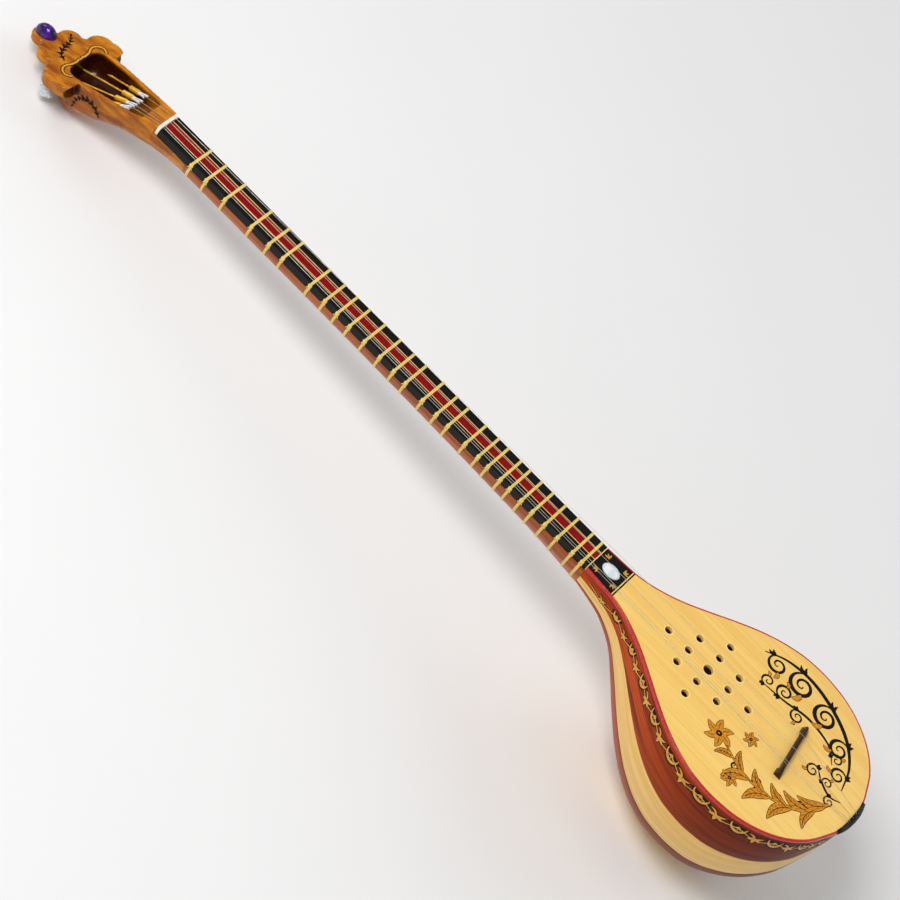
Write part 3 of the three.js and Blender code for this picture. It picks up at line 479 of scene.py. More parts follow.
def bowlPoint(row, angle, inset=0):
    # Points of the skin at rows and angles from the left rim, moved inward
    inward = inset * np.cos(skinSlope[row])
    y = skinY[row] - inset * np.sin(skinSlope[row])
    deep = skinDepth[row] * bowl["ease"] - bowl["seat"] - inward
    x = -(skinHalf[row] - inward) * np.cos(angle)
    return np.stack([x, y + 0 * x, rimZ(y) - bowl["seat"] - deep * np.sin(angle)], -1)


def offsetRim(inset):
    # The right half of the rim in plan, joint to tail
    corners = np.vstack([np.stack([skinHalf, skinY], 1), [(0, tailY)]])
    way = np.diff(corners, axis=0)
    out = np.stack([-way[:, 1], way[:, 0]], 1)
    out /= np.linalg.norm(out, axis=1)[:, None]
    mitre = out[:-1] + out[1:]
    mitre /= np.linalg.norm(mitre, axis=1)[:, None]
    moved = corners[1:-1] - inset * mitre / np.sum(mitre * out[1:], axis=1)[:, None]
    return np.vstack([[corners[0] - (inset, 0)], moved, [(0, tailY + inset)]])


# Staves: each one is a closed strip with worn seam edges

stave = {
    "count": 9, "thick": 3, "gap": 0.08, "across": 12, "under": 5,
    "paint": 0.07,  # room for the painted scroll inside the bowl's size
    "edge": [(0, 0.3), (0.3, 0.08), (0.75, 0)],  # away from the seam, and inward
    "grainShift": (61, 173),  # so that no two staves have the same grain
}


def staveOf(number):
    first, last = (math.pi * (number + k) / stave["count"] for k in (0, 1))
    middle = (first + last) / 2
    rows = np.arange(bowl["rows"])[:, None]
    deep = skinDepth[rows] - bowl["seat"]
    reach = [np.hypot(skinHalf[rows] * math.sin(a), deep * math.cos(a)) for a in (first, last)]
    left, right = ([sign * (stave["gap"] / 2 + away) / across for away, _ in stave["edge"]]
                   for sign, across in zip((1, -1), reach))
    left, right = [first + step for step in left], [last + step for step in reversed(right)]
    shares = np.linspace(0, 1, stave["across"])[1:-1]
    angles = left + [mix(left[-1], right[0], share) for share in shares] + right
    insets = [inset for _, inset in stave["edge"]]
    insets += [0] * len(shares) + insets[::-1]
    back = [mix(angles[-1], angles[0], share) for share in np.linspace(0, 1, stave["under"])]
    rings = np.concatenate(
        [bowlPoint(rows, angle, inset + stave["paint"]) for angle, inset in zip(angles, insets)]
        + [bowlPoint(rows, angle, stave["thick"]) for angle in back], 1)
    rings[0, :, 1] -= bowl["jointGap"]
    name = f"stave_{number + 1}"
    piece = objectOf(name, meshFrom(name, [loft(rings)]))
    spread = np.hypot(skinHalf[rows] * math.sin(middle), deep * math.cos(middle))
    around = np.concatenate([np.broadcast_to(angle, rows.shape) for angle in angles + back], 1)
    across = (around - middle) * spread
    along = np.broadcast_to(skinT[:, None], across.shape)
    shiftAcross, shiftAlong = stave["grainShift"]
    grain = np.stack([across + shiftAcross * number, along + shiftAlong * number, 0 * across], -1)
    store = piece.data.attributes.new("grain", "FLOAT_VECTOR", "POINT")
    store.data.foreach_set("vector", grain.reshape(-1))
    look = "pale" if number % 2 else "brown"
    complete(piece, look, stands=[f"rib_{number + 1}"], sharp=50)


for number in range(stave["count"]):
    staveOf(number)
print("staves made")

# Blocks inside the bowl, and the neck that grows out of the front one

neck = {
    "fretHalf": 11.6, "flare": 1.8, "thick": 6.5, "top": -6.82, "depth": 22.6, "heel": 1.5,
    "from": -33.1, "block": -500, "blockInset": 3.4,
    # share of the way to the joint, and of the growth in depth and width
    "swell": [(0, 0), (0.3, 0), (0.55, 0.07), (0.8, 0.3), (0.9, 0.52), (0.96, 0.79), (1, 1)],
}
tailBlock = {"long": 12, "inset": 3.6}
swell = columnOf(neck["swell"])


def toJoint(y):
    return np.clip(y / bowl["joint"], 0, 1)


def fretHalf(y):
    return mix(neck["fretHalf"], bowl["jointHalf"] - neck["flare"], toJoint(y))


def neckHalf(y):
    return fretHalf(y) + neck["flare"] * swell(toJoint(y)) ** 2


def neckDepth(y):
    return mix(neck["depth"], bowl["jointDepth"] + neck["heel"], swell(toJoint(y)))


def hung(half, top, depth, power=2):
    # A section below a level top, right edge round to left: x and z
    a = np.radians(np.linspace(0, 90, 24))
    x = half * np.cos(a) ** (2 / power)
    z = top - (depth + top) * np.sin(a) ** (2 / power)
    return np.concatenate([x, -x[-2::-1]]), np.concatenate([z, z[-2::-1]])


def ringAt(y, section):
    x, z = section
    return np.stack([x, np.full_like(x, y), z], 1)


def neckRing(y, lift=0):
    return ringAt(y, hung(neckHalf(y) + lift, neck["top"], neckDepth(y) + lift))


def blockRings(rows, inset):
    # Sections of the bowl's inside at the rows, with as many points as hung() gives
    turns = np.linspace(math.pi, 0, 47)
    return [bowlPoint(np.full(len(turns), row), turns, inset) for row in np.flatnonzero(rows)]


neckRings = [neckRing(y) for y in np.linspace(neck["from"], bowl["joint"], 90)]
neckRings += blockRings(skinY > neck["block"], neck["blockInset"])
made("neck_and_heel", [loft(neckRings)], "neck", stands=["neck"])
tailRings = blockRings(skinY < tailY + tailBlock["long"], tailBlock["inset"])
made("tail_block_wood", [loft(tailRings)], "neck", stands=["tail_block"])

# Soundboard: a thin arched plate with its diamond of holes

board = {
    "thick": 3, "arch": 2, "inset": 1.52, "start": -486.1, "pitch": 8, "clear": 2, "chamfer": 0.35,
    "holes": {"centre": -574, "across": 16.5, "along": 20.6, "rings": 2, "small": 6.3, "big": 8.4},
}
boardRim = offsetRim(board["inset"])


def boardHalf(y):
    return np.interp(-np.asarray(y, float), -boardRim[:, 1], boardRim[:, 0])


def boardTop(x, y):
    half = boardHalf(y)
    return rimZ(y) + board["arch"] * half / bowl["half"] * (1 - (x / half) ** 2)


def holePlaces():
    field = board["holes"]
    for row in range(-field["rings"], field["rings"] + 1):
        reach = field["rings"] - abs(row)
        for column in range(-reach, reach + 1):
            wide = field["big"] if row == column == 0 else field["small"]
            yield column * field["across"], field["centre"] + row * field["along"], wide / 2


def circle(x, y, r):
    turn = np.linspace(0, 2 * math.pi, 40, endpoint=False)
    return [(x + r * math.cos(a), y + r * math.sin(a)) for a in turn]


def boardPlan():
    # Triangles of the board's outline round its holes, and which points lie on a hole's edge
    start, pitch = board["start"], board["pitch"]
    holes = list(holePlaces())

    def clear(x, y, share=1, gap=0):
        return all(math.hypot(x - p, y - q) > r * share + gap for p, q, r in holes)

    wide = boardHalf(start)
    right = [(wide, start), *(corner for corner in boardRim[:-1] if corner[1] < start - 0.5)]
    back = [(x, start) for x in np.linspace(-1, 1, 11)[1:-1] * wide]
    loops = [right + [(-x, y) for x, y in right[::-1]] + back]
    for x, y, r in holes:
        loops += [circle(x, y, r + board["chamfer"]), circle(x, y, r)]
    points, edges = [], []
    for loop in loops:
        base = len(points)
        points += [Vector(point) for point in loop]
        edges += [(base + i, base + (i + 1) % len(loop)) for i in range(len(loop))]
    foot = boardRim[-2][1] + pitch / 2
    for y in np.arange(start - pitch, tailY, -pitch):
        for x in np.arange(-10, 11) * pitch:
            inside = abs(x) < boardHalf(y) - pitch / 2 and y > foot
            if inside and clear(x, y, gap=board["clear"]):
                points.append(Vector((x, y)))
    places, _, faces, *_ = geometry.delaunay_2d_cdt(points, edges, [], 1, 1e-4)
    kept = [tuple(face) for face in faces if clear(*np.mean([places[i] for i in face], 0), 0.98)]
    return places, kept, [not clear(x, y, gap=0.02) for x, y in places]


def soundboard():
    places, faces, onEdge = boardPlan()
    x, y = np.array([tuple(place) for place in places]).T
    top = boardTop(x, y)
    heights = (top - board["chamfer"] * np.array(onEdge), top - board["thick"])
    points = np.concatenate([np.stack([x, y, z], 1) for z in heights])
    count = len(x)
    ways = {(face[i - 1], face[i]) for face in faces for i in range(len(face))}
    walls = [(b, a, a + count, b + count) for a, b in ways if (b, a) not in ways]
    under = [tuple(i + count for i in reversed(face)) for face in faces]
    plate = (points, faces + under + walls)
    made("soundboard_plate", [plate], "board", stands=["soundboard"], sharp=25)


soundboard()
print("soundboard made")

# Binding: a red strip with worn corners, all round the rim

binding = {  # inward from the rim, and down
    "profile": [
        (0, 3.2), (0, 0.55), (0.12, 0.2), (0.42, 0.01), (1.1, 0), (1.38, 0.12), (1.5, 0.5), (1.5, 3.2),
    ],
}


def rimStrip(profile):
    half = np.stack([offsetRim(inset)[:-1] for inset, _ in profile], 1)
    drop = np.array([d for _, d in profile])
    rings = np.concatenate([half, (rimZ(half[:, :, 1]) - drop)[:, :, None]], 2)
    rings[0, :, 1] = bowl["joint"] - bowl["jointGap"]
    other = rings[::-1] * (-1, 1, 1)
    return loft(np.concatenate([rings, other]))


made("binding_strip", [rimStrip(binding["profile"])], "red", stands=["rim_binding"], sharp=60)

# Fretboard with its inlaid strip and lines, its cream end, and the plate over the bowl

inlay = {
    "strip": (4.45, 4.25), "line": 0.62, "deep": 0.7, "gap": 0.03,
    "head": -1.62, "end": 0.8, "seam": 0.02,
    "plateLine": (-483.9, -484.8), "plateEnd": -486, "plateThick": 3,
}


def boxRing(y, left, right, low, high):
    return [(right, y, high), (right, y, low), (left, y, low), (left, y, high)]


def plateRing(y):
    half = float(boardHalf(y))
    return boxRing(y, -half, half, rimZ(y) - inlay["plateThick"], rimZ(y))


def fretboardPieces():
    joint, foot = bowl["joint"], bowl["joint"] + inlay["end"]
    thick, deep, gap = neck["thick"], inlay["deep"], inlay["gap"]
    rings, red, creamLeft, creamRight = [], [], [], []
    for y in (inlay["head"], foot - inlay["seam"]):
        half = float(fretHalf(y))
        strip = mix(*inlay["strip"], y / joint)
        line = strip + inlay["line"]
        section = [(line, 0), (line, -deep), (-line, -deep), (-line, 0),
                   (-half, 0), (-half, -thick), (half, -thick), (half, 0)]
        rings.append([(x, y, z) for x, z in section])
        red.append(boxRing(y, -strip + gap, strip - gap, -deep, 0))
        creamRight.append(boxRing(y, strip, line - gap, -deep, 0.01))
        creamLeft.append(boxRing(y, gap - line, -strip, -deep, 0.01))
    made("fretboard_wood", [loft(rings)], "black", stands=["fretboard"], sharp=20)
    made("centre_strip", [loft(red)], "strip", sharp=20)
    made("pinstripes", [loft(creamLeft), loft(creamRight)], "cream", sharp=20)
    end = [boxRing(y, -fretHalf(y), fretHalf(y), -thick, 0) for y in (foot, joint)]
    made("fretboard_end", [loft(end)], "cream", edge=0.15)


def endPlate():
    joint, gap = bowl["joint"], inlay["gap"]
    near, far = inlay["plateLine"]
    between = [y for y in boardRim[:, 1] if near + 1 < y < joint - 1]
    plates = [(joint - inlay["seam"], *between, near), (far, inlay["plateEnd"])]
    plates = [loft([plateRing(y) for y in ys]) for ys in plates]
    made("end_plate", plates, "black", edge=0.08, sharp=20)
    line = loft([plateRing(near - gap), plateRing(far + gap)])
    made("plate_line", [line], "cream", sharp=20)


fretboardPieces()
endPlate()
print("neck and fretboard made")


# Strands that follow paths: Geometry Nodes, with the sizes as named inputs

def strandTree():
    tree = bpy.data.node_groups.new("strandsAlongPaths", "GeometryNodeTree")
    inputs = {"Geometry": "Geometry", "Radius": "Float", "Wander": "Float", "Sides": "Int",
              "Seed": "Int", "Finish": "Material"}
    for name, kind in inputs.items():
        tree.interface.new_socket(name, in_out="INPUT", socket_type="NodeSocket" + kind)
    tree.interface.new_socket("Geometry", in_out="OUTPUT", socket_type="NodeSocketGeometry")
    sheet = Sheet(tree)
    add = sheet.add
    given = {name: add("NodeGroupInput", output=name) for name in inputs}
    cloud = {"Scale": 300, "W": given["Seed"]}
    noise = add("ShaderNodeTexNoise", {"noise_dimensions": "4D"}, cloud, "Color")
    away = add("ShaderNodeVectorMath", {"operation": "SUBTRACT"}, (noise, (0.5, 0.5, 0.5)))
    scaled = add("ShaderNodeVectorMath", {"operation": "SCALE"}, {0: away, "Scale": given["Wander"]})
    moved = add("GeometryNodeSetPosition", {}, {"Geometry": given["Geometry"], "Offset": scaled})
    path = add("GeometryNodeMeshToCurve", {}, {"Mesh": moved})
    sizes = {"Resolution": given["Sides"], "Radius": given["Radius"]}
    section = add("GeometryNodeCurvePrimitiveCircle", {}, sizes)
    sweep = {"Curve": path, "Profile Curve": section, "Fill Caps": True}
    tube = add("GeometryNodeCurveToMesh", {}, sweep)
    real = add("GeometryNodeRealizeInstances", {}, {"Geometry": tube})
    coloured = add("GeometryNodeSetMaterial", {}, {"Geometry": real, "Material": given["Finish"]})
    sheet.fill(tree.nodes.new("NodeGroupOutput").inputs[0], coloured)
    return tree


strandsAlongPaths = strandTree()


def strands(name, paths, radius, look, body=home, stands=(), place=toRow, sides=8, wander=0, seed=3):
    # Paths are lists of points; a path whose last point is its first is a loop
    points, edges = [], []
    for path in paths:
        path = [tuple(point) for point in path]
        loop = path[0] == path[-1]
        path = path[:-1] if loop else path
        base = len(points)
        points.extend(place @ Vector(point) for point in path)
        edges.extend((base + i, base + i + 1) for i in range(len(path) - 1))
        if loop:
            edges.append((base + len(path) - 1, base))
    mesh = bpy.data.meshes.new(name)
    mesh.from_pydata(points, edges, [])
    piece = objectOf(name, mesh)
    step = piece.modifiers.new("strands", "NODES")
    step.node_group = strandsAlongPaths
    values = {"Radius": radius / 1000, "Wander": wander / 1000, "Sides": sides, "Seed": seed,
              "Finish": finishes[look]}
    for item in strandsAlongPaths.interface.items_tree:
        if item.name in values:
            step[item.identifier] = values[item.name]
    bake(piece)
    edited(piece.data, lambda bm: bmesh.ops.remove_doubles(bm, verts=bm.verts, dist=1e-7), outsideOut)
    complete(piece, look, body, stands, 60)


# Frets: three strands of gut round fretboard and neck, with a knot at the left edge

fret = {
    "length": 660, "strand": 0.37, "apart": 0.76, "lift": 0.4, "knot": 0.34,
    "over": (-0.6, -0.2, 0.2, 0.6), "pressed": 0.02,  # places over the fretboard
    "bend": (80, 60, 40, 20, 0), "wornEdge": (0.1, 0.08), "sides": (-2.2, -4.4),
    "knotTurns": 3, "knotOut": 0.55, "knotHalf": (0.62, 1.45), "knotDrop": (0.5, 0.36),
    "tailStart": (0.5, 0.9, 2.4), "tailReach": (0.25, 2.6), "droop": (0.6, 1.4),
    "cents": [
        100, 145, 204, 290, 349, 397, 495, 552, 600, 650, 712, 778, 840, 894,
        975, 1044, 1103, 1197, 1270, 1327, 1404, 1462, 1538, 1615, 1705, 1802, 1922, 2001,
    ],
}


def fretY(cents):
    return fret["length"] * (2 ** (-cents / 1200) - 1)


def tiedLoop(y, along):
    # Over the fretboard, round its worn edges, down its sides and round the neck
    half, lift = float(fretHalf(y)), fret["lift"]
    over = [(half * share, lift - fret["pressed"]) for share in fret["over"]]
    turns = np.radians(fret["bend"])
    away, low = fret["wornEdge"]
    bend = [(half + lift * math.cos(a) - away, lift * math.sin(a) - low) for a in turns]
    down = bend + [(half + lift, z) for z in fret["sides"]]
    under = [(x, z) for x, _, z in neckRing(y, lift)]
    section = over + down + under + [(-x, z) for x, z in reversed(down)]
    loop = [(x, along, z) for x, z in section]
    return loop + loop[:1]


def knotPath(along, left):
    # Some turns round the strands, just below the fretboard's left edge
    out, tall = fret["knotHalf"]
    first, drop = fret["knotDrop"]
    turns = np.linspace(0, fret["knotTurns"] * 2 * math.pi, 40)
    middle = left - fret["knotOut"]
    return [(middle + out * math.cos(t), along + tall * math.sin(t), -first - drop * t / math.pi)
            for t in turns]


def tailsOf(along, left):
    # The knot's two cut ends, one on each side of it
    x, y, z = fret["tailStart"]
    out, down = fret["tailReach"]
    for side in (-1, 1):
        droop = chance.uniform(*fret["droop"])
        yield [(left - x - out * s, along + side * (y + droop * s * s), -z - down * s)
               for s in (0, 0.35, 0.7, 1)]


loops, knots = [], []
for cents in fret["cents"]:
    y = fretY(cents)
    solid = max(y, bowl["joint"])
    loops.extend(tiedLoop(solid, y + k * fret["apart"]) for k in (-1, 0, 1))
    left = -float(fretHalf(solid)) - fret["lift"]
    knots.append(knotPath(y, left))
    knots.extend(tailsOf(y, left))
names = [f"fret_{i + 1:02d}" for i in range(len(fret["cents"]))]
strands("tied_frets", loops, fret["strand"], "gut", stands=names, sides=7, wander=0.12)
strands("fret_knots", knots, fret["knot"], "gut", sides=7, wander=0.3, seed=9)
print("frets made")


# Nut, bridge, tailpiece and stones

def joined(bm):
    bmesh.ops.remove_doubles(bm, verts=bm.verts, dist=1e-6)
    bmesh.ops.dissolve_limit(bm, angle_limit=math.radians(1), verts=bm.verts, edges=bm.edges)


def worn(name, node, look, edge, sharp=30):
    # The CAD's own form with its edges worn soft
    piece = objectOf(name, edited(nodes[node].data.copy(), joined))
    bevel(piece, edge, 35)
    complete(piece, look, stands=[node], sharp=sharp)


worn("nut_bone", "nut", "bone", 0.14)
worn("bridge_bar", "bridge", "dark", 0.16)
worn("tailpiece_wood", "tailpiece", "black", 0.2, 50)


def domed(length, width, height, place):
    arc = np.radians(np.linspace(0, 90, 16))
    profile = [(0, 0), (0.47, 0)] + [(0.5 * math.cos(a), math.sin(a)) for a in arc[:-1]] + [(0, 1)]
    return lathe(profile, 64, place @ Matrix.Diagonal((width, length, height, 1)))


stone = {  # length, width and height of each; where they lie
    "crown": (18.6, 12.6, 8.2), "crownY": 120.5, "plate": (16, 12, 2.6), "plateY": -472, "lift": 0.04,
}
crownPlace = Matrix.Translation((0, stone["crownY"], stone["lift"]))
made("crown_gem", [domed(*stone["crown"], crownPlace)], "violet", stands=["crown_stone"],
     place=headToRow, sharp=60)
platePlace = Matrix.Translation((0, stone["plateY"], rimZ(stone["plateY"]) + stone["lift"]))
made("plate_opal", [domed(*stone["plate"], platePlace)], "opal", stands=["plate_stone"], sharp=60)

# Head: the peg box under its lobed crown, carved from one block; its own frame is tilted back

head = {
    "length": 93, "halfAtNut": 13.2, "half": 22.8, "depthAtNut": 22.5, "depth": 40, "splice": 33,
    "ease": 0.35, "easing": (10, 40), "seat": 1.62, "power": 3.8, "cavity": (16, 85), "wall": 3.5,
    "floor": (7, 21), "cavityPower": 4.2, "edge": 2.4, "slot": 1.8, "screwHole": 1.1,
    "voxel": 0.6, "wear": 4,
    "neckRoom": (90, -66, 60),  # half width, back and top of the room that the neck takes
    "cove": (6, 66.3, -5.5, 23.1, 41),  # radius, y, z, and x from and to
    # share of the length or way, and of the growth
    "width": [
        (0, 0), (0.1, 0.2), (0.22, 0.37), (0.35, 0.54), (0.47, 0.7), (0.59, 0.84), (0.7, 0.94),
        (0.8, 1),
    ],
    "deep": [(0, 0), (0.24, 0.03), (0.39, 0.18), (0.46, 0.29), (0.6, 0.57), (0.72, 0.79), (0.84, 1)],
    "cheeks": [(0, 0), (0.35, 0.16), (0.7, 0.58), (1, 1)],
    # share of the length, and what is left of width and depth there
    "end": [
        (0.8, 1, 1), (0.85, 0.98, 1), (0.885, 0.93, 0.99), (0.92, 0.83, 0.95), (0.955, 0.6, 0.87),
        (0.985, 0.32, 0.76), (1, 0.1, 0.68),
    ],
    "hollow": [
        (0, 0.9, 0), (0.13, 1, 0.45), (0.35, 1, 0.9), (0.6, 1, 1), (0.88, 1, 1), (0.96, 0.9, 0.96),
        (1, 0.66, 0.9),
    ],
    # radius, x, y, thickness of each lobe
    "lobes": [
        (11.9, 25.1, 86.7, 11), (11.9, 25.1, 78.2, 11), (10.7, 11.2, 105.8, 8), (9.75, 0, 121.6, 8),
    ],
    "web": [(25.1, 68.7), (31.05, 86.7), (20.55, 98.65), (16.55, 105.8), (8.8, 115.3), (0, 121.6)],
}


def toHeadFrame(points):
    x, y, z = np.moveaxis(np.asarray(points, float), -1, 0)
    c, s = math.cos(headTilt), math.sin(headTilt)
    return np.stack([x, y * c - z * s, y * s + z * c], -1)


def headSize(y, low, high, form, column):
    share = np.asarray(y) / head["length"]
    grown = mix(head[low], head[high], columnOf(head[form])(share))
    return grown * columnOf(head["end"], column)(share)


def headHalf(y):
    return headSize(y, "halfAtNut", "half", "width", 1)


def headDeep(y):
    return headSize(y, "depthAtNut", "depth", "deep", 2)


def headBlank():
    bendY = -head["depthAtNut"] * math.sin(headTilt)
    root = np.stack(hung(neckHalf(0), neck["top"], neck["depth"]), 1)
    bend = np.stack(hung(head["halfAtNut"], 0, head["depthAtNut"], head["power"]), 1)
    rings = []
    for share in np.linspace(0, 1, 16):
        section = mix(root, bend, float(columnOf(head["cheeks"])(share)))
        rings.append(toHeadFrame(ringAt(mix(-head["splice"], bendY, share), section.T)))
    for y in np.linspace(head["seat"], head["length"], 80):
        deep = float(headDeep(y)) - np.interp(y, head["easing"], (0, head["ease"]))
        rings.append(ringAt(y, hung(float(headHalf(y)), 0, deep, head["power"])))
    return loft(rings)


def drum(radius, edge, low, high, waist=()):
    # The profile of a disc with round corners, from the axis at low to the axis at high
    arc = np.radians(np.linspace(0, 90, 7))
    under = [(radius - edge + edge * math.sin(a), low + edge - edge * math.cos(a)) for a in arc]
    over = [(radius - edge + edge * math.cos(a), high - edge + edge * math.sin(a)) for a in arc]
    return [(0, low), *under, *waist, *over, (0, high)]


def alongY(place):
    # Lathes are drawn round z; a tuner's axis is its y
    return place @ Matrix.Rotation(-math.pi / 2, 4, "X")


def rod(place, radius, start, end):
    return lathe([(0, start), (radius, start), (radius, end), (0, end)], 20, alongY(place))


def cavity():
    rings = []
    near = [0.92, 0.94, 0.97, 0.98, 0.99]  # more rings where the crown's end curves
    for share in np.sort(np.concatenate([np.linspace(0, 1, 40), near])):
        y = mix(*head["cavity"], share)
        grown = float(columnOf(head["width"])(y / head["length"]))
        body = mix(head["halfAtNut"], head["half"], grown)
        half = (body - head["wall"]) * float(columnOf(head["hollow"])(share))
        floor = mix(*head["floor"], float(columnOf(head["hollow"], 2)(share)))
        x, z = hung(half, 0, floor, head["cavityPower"])
        rings.append(ringAt(y, (np.pad(x, 1, "edge"), np.pad(z, 1, constant_values=4))))
    return loft(rings)


def headTools():
    # What is carved away: cavity, coves, the neck's room, the strings' slots and the screw holes
    yield cavity()
    r, y, z, near, far = head["cove"]
    for x in (-far, near):
        place = Matrix.Translation((x, y, z)) @ Matrix.Rotation(math.pi / 2, 4, "Y")
        yield lathe([(0, 0), (r - 0.6, 0), (r, 0.6), (r, far - near), (0, far - near)], 48, place)
    half, back, high = head["neckRoom"]
    corners = [(-half, neck["top"]), (half, neck["top"]), (half, high), (-half, high)]
    points, faces = loft([[(x, y, z) for x, z in corners] for y in (back, head["seat"])])
    yield toHeadFrame(points), faces
    half = head["slot"] / 2
    corners = [(-half, -0.5), (half, -0.5), (half, 4.5), (-half, 4.5)]
    for route in routes:
        rear, bend = Vector(route["rear"]), Vector(route["bend"])
        bend = rear.lerp(bend, min((head["cavity"][0] + 3 - rear.y) / (bend.y - rear.y), 1))
        yield loft([[(p.x + x, p.y, p.z + z) for x, z in corners] for p in (rear, bend)])
    for tuner in tuners:
        yield rod(tuner["place"], head["screwHole"], 10, 100)


# Where each tuner and its string run, in the head frame

tuning = {
    "pitch": 8.4, "fan": 8.8, "slopes": (12, 17.5), "middle": 40.92, "deep": 5.5,
    "mouth": -14, "travel": 3, "held": 3.7, "nutHalf": 1.3, "nutZ": 1.95, "bridgeRise": 6.55,
    "slant": math.radians(8.5), "tailIn": 0.2, "tailZ": -3.85, "string": 0.15,
    "nut": [-8.6, -6.4, 0, 7], "bridge": [-16.6, -14, 0, 15.5], "tail": [-6.4, -4.2, 0.6, 6],
}


def tunersAndRoutes():
    tuners, routes = [], []
    mouth, nutZ = tuning["mouth"], tuning["nutZ"]
    saddleZ = float(boardTop(0, -fret["length"])) + tuning["bridgeRise"]
    for i in range(4):
        offset = i - 1.5
        fan = Matrix.Rotation(-offset * math.radians(tuning["fan"]), 3, "Z")
        slope = Matrix.Rotation(-math.radians(tuning["slopes"][abs(offset) > 1]), 3, "X")
        direction = fan @ slope @ Vector((0, 1, 0))
        square = Vector((0, 1, 0)).rotation_difference(direction).to_matrix().to_4x4()
        centre = (offset * tuning["pitch"], tuning["middle"], -tuning["deep"])
        place = Matrix.Translation(centre) @ square
        toTuner = place.inverted() @ headToRow.inverted()
        knob = [toTuner @ vertex.co for vertex in nodes[f"tuner_knob_{i + 1}"].data.vertices]
        face = min(p.y for p in knob if math.hypot(p.x, p.z) > 3)
        tuners.append({"place": place, "face": face})
        nutX, bridgeX, tailX = (tuning[key][i] for key in ("nut", "bridge", "tail"))
        bridgeY = bridgeX * math.tan(tuning["slant"]) - fret["length"]
        routes.append({
            "end": place @ Vector((0, mouth + tuning["held"], 0)),
            "bend": place @ Vector((0, mouth - tuning["travel"], 0)),
            "rear": toHeadFrame((nutX, tuning["nutHalf"], nutZ)).tolist(),
            "front": (nutX, -tuning["nutHalf"], nutZ),
            "bridge": (bridgeX, bridgeY, saddleZ),
            "tail": (tailX, tailY + tuning["tailIn"], tuning["tailZ"]),
        })
    return tuners, routes


tuners, routes = tunersAndRoutes()


# Where the painted shade in the head's cavity and coves lies, and how dark it grows
shadow = {
    "start": 0.5, "end": 0.6, "wall": 0.5, "floor": 0.7,  # how far past the cavity it reaches
    "lip": 0.3, "fade": 2.4, "atNut": 0.42, "more": 0.55, "along": (0.05, 2.1),
    "coveRound": 0.35, "coveSide": 0.3, "coveEdge": 0.9, "coveFade": 2, "coveMost": 0.85,
}


def shadeInHollows(x, y, z):
    # Painted shade on the head: 1 deep in the cavity and the coves, less towards the nut, where the
    # floor is lit, 0 on the outside
    start, end = head["cavity"]
    share = np.clip((y - start) / (end - start), 0, 1)
    half = headHalf(np.clip(y, 0, head["length"] * 0.8)) - head["wall"] + shadow["wall"]
    floor = mix(*head["floor"], columnOf(head["hollow"], 2)(share)) + shadow["floor"]
    within = (y > start - shadow["start"]) & (y < end + shadow["end"])
    hollow = within & (abs(x) < half) & (z > -floor)
    first, rate = shadow["along"]
    tone = shadow["atNut"] + shadow["more"] * np.clip((share - first) * rate, 0, 1)
    deep = np.clip(-(z + shadow["lip"]) / shadow["fade"], 0, 1) * tone
    r, coveY, coveZ, near, _ = head["cove"]
    beside = np.hypot(y - coveY, z - coveZ) < r + shadow["coveRound"]
    cove = beside & (abs(x) > near - shadow["coveSide"])
    coveShade = (r + shadow["coveEdge"] - abs(z - coveZ)) / shadow["coveFade"]
    coveShade = np.clip(coveShade, 0, shadow["coveMost"])
    return np.where(hollow, deep, np.where(cove, coveShade, 0))


def pegBox():
    small = Matrix.Scale(0.001, 4)
    lobes = [
        lathe(drum(r, head["edge"], -thick, 0), 72, Matrix.Translation((side * x, y, 0)))
        for r, x, y, thick in head["lobes"] for side in ((-1, 1) if x else (1,))
    ]
    outline = head["web"] + [(-x, y) for x, y in head["web"][-2::-1]]
    web = loft([[(x, y, z) for x, y in outline] for z in (-8, 0)])
    piece = objectOf("peg_box_wood", meshFrom("blank", [headBlank(), *lobes, web], small))
    remesh(piece, head["voxel"])
    cut(piece, [objectOf("tool", meshFrom("tool", [tool], small)) for tool in headTools()])
    remesh(piece, head["voxel"])
    change(piece, "SMOOTH", factor=0.5, iterations=head["wear"])
    # painted shade in the cavity and coves, stored on each point
    carved = piece.data.attributes.new("carved", "FLOAT", "POINT")
    points = np.empty(3 * len(piece.data.vertices))
    piece.data.vertices.foreach_get("co", points)
    carved.data.foreach_set("value", shadeInHollows(*(points.reshape(-1, 3) * 1000).T))
    piece.data.transform(headToRow @ Matrix.Scale(1000, 4))
    complete(piece, "head", stands=["peg_box"], sharp=60)


pegBox()
print("head made")

# Tuners: a pearl knob on a threaded brass screw, and a brass barrel with a white hook

gear = {
    "knob": 6.7, "long": 10, "edge": 2.4, "waist": 0.12,
    "core": 0.6, "coreStart": 0.5, "thread": 0.17, "threadAt": 0.62, "threadStart": 0.6, "pitch": 0.7,
    # radius and height round the barrel's axis
    "barrel": [
        (0, -5), (1.85, -5), (2.2, -4.65), (2.2, 4.65), (1.85, 5), (1.1, 5), (1.1, -2.8), (0, -2.8),
    ],
    "hook": [(1.5, 1.1), (1.4, -2.6), (2.1, -8.6), (0.75, -6.4), (0.7, -1.6)],
    "hookY": -5, "hookHalf": 0.9,
}


def knobProfile(face):
    waist = (gear["knob"] - gear["waist"], face + gear["long"] / 2)
    return drum(gear["knob"], gear["edge"], face, face + gear["long"], [waist])


def hookForm(place):
    outline = gear["hook"] + [(-x, y) for x, y in reversed(gear["hook"])]
    points, faces = loft([
        [(x, y + gear["hookY"], z) for x, y in outline] for z in (-gear["hookHalf"], gear["hookHalf"])
    ])
    return [place @ Vector(point) for point in points], faces


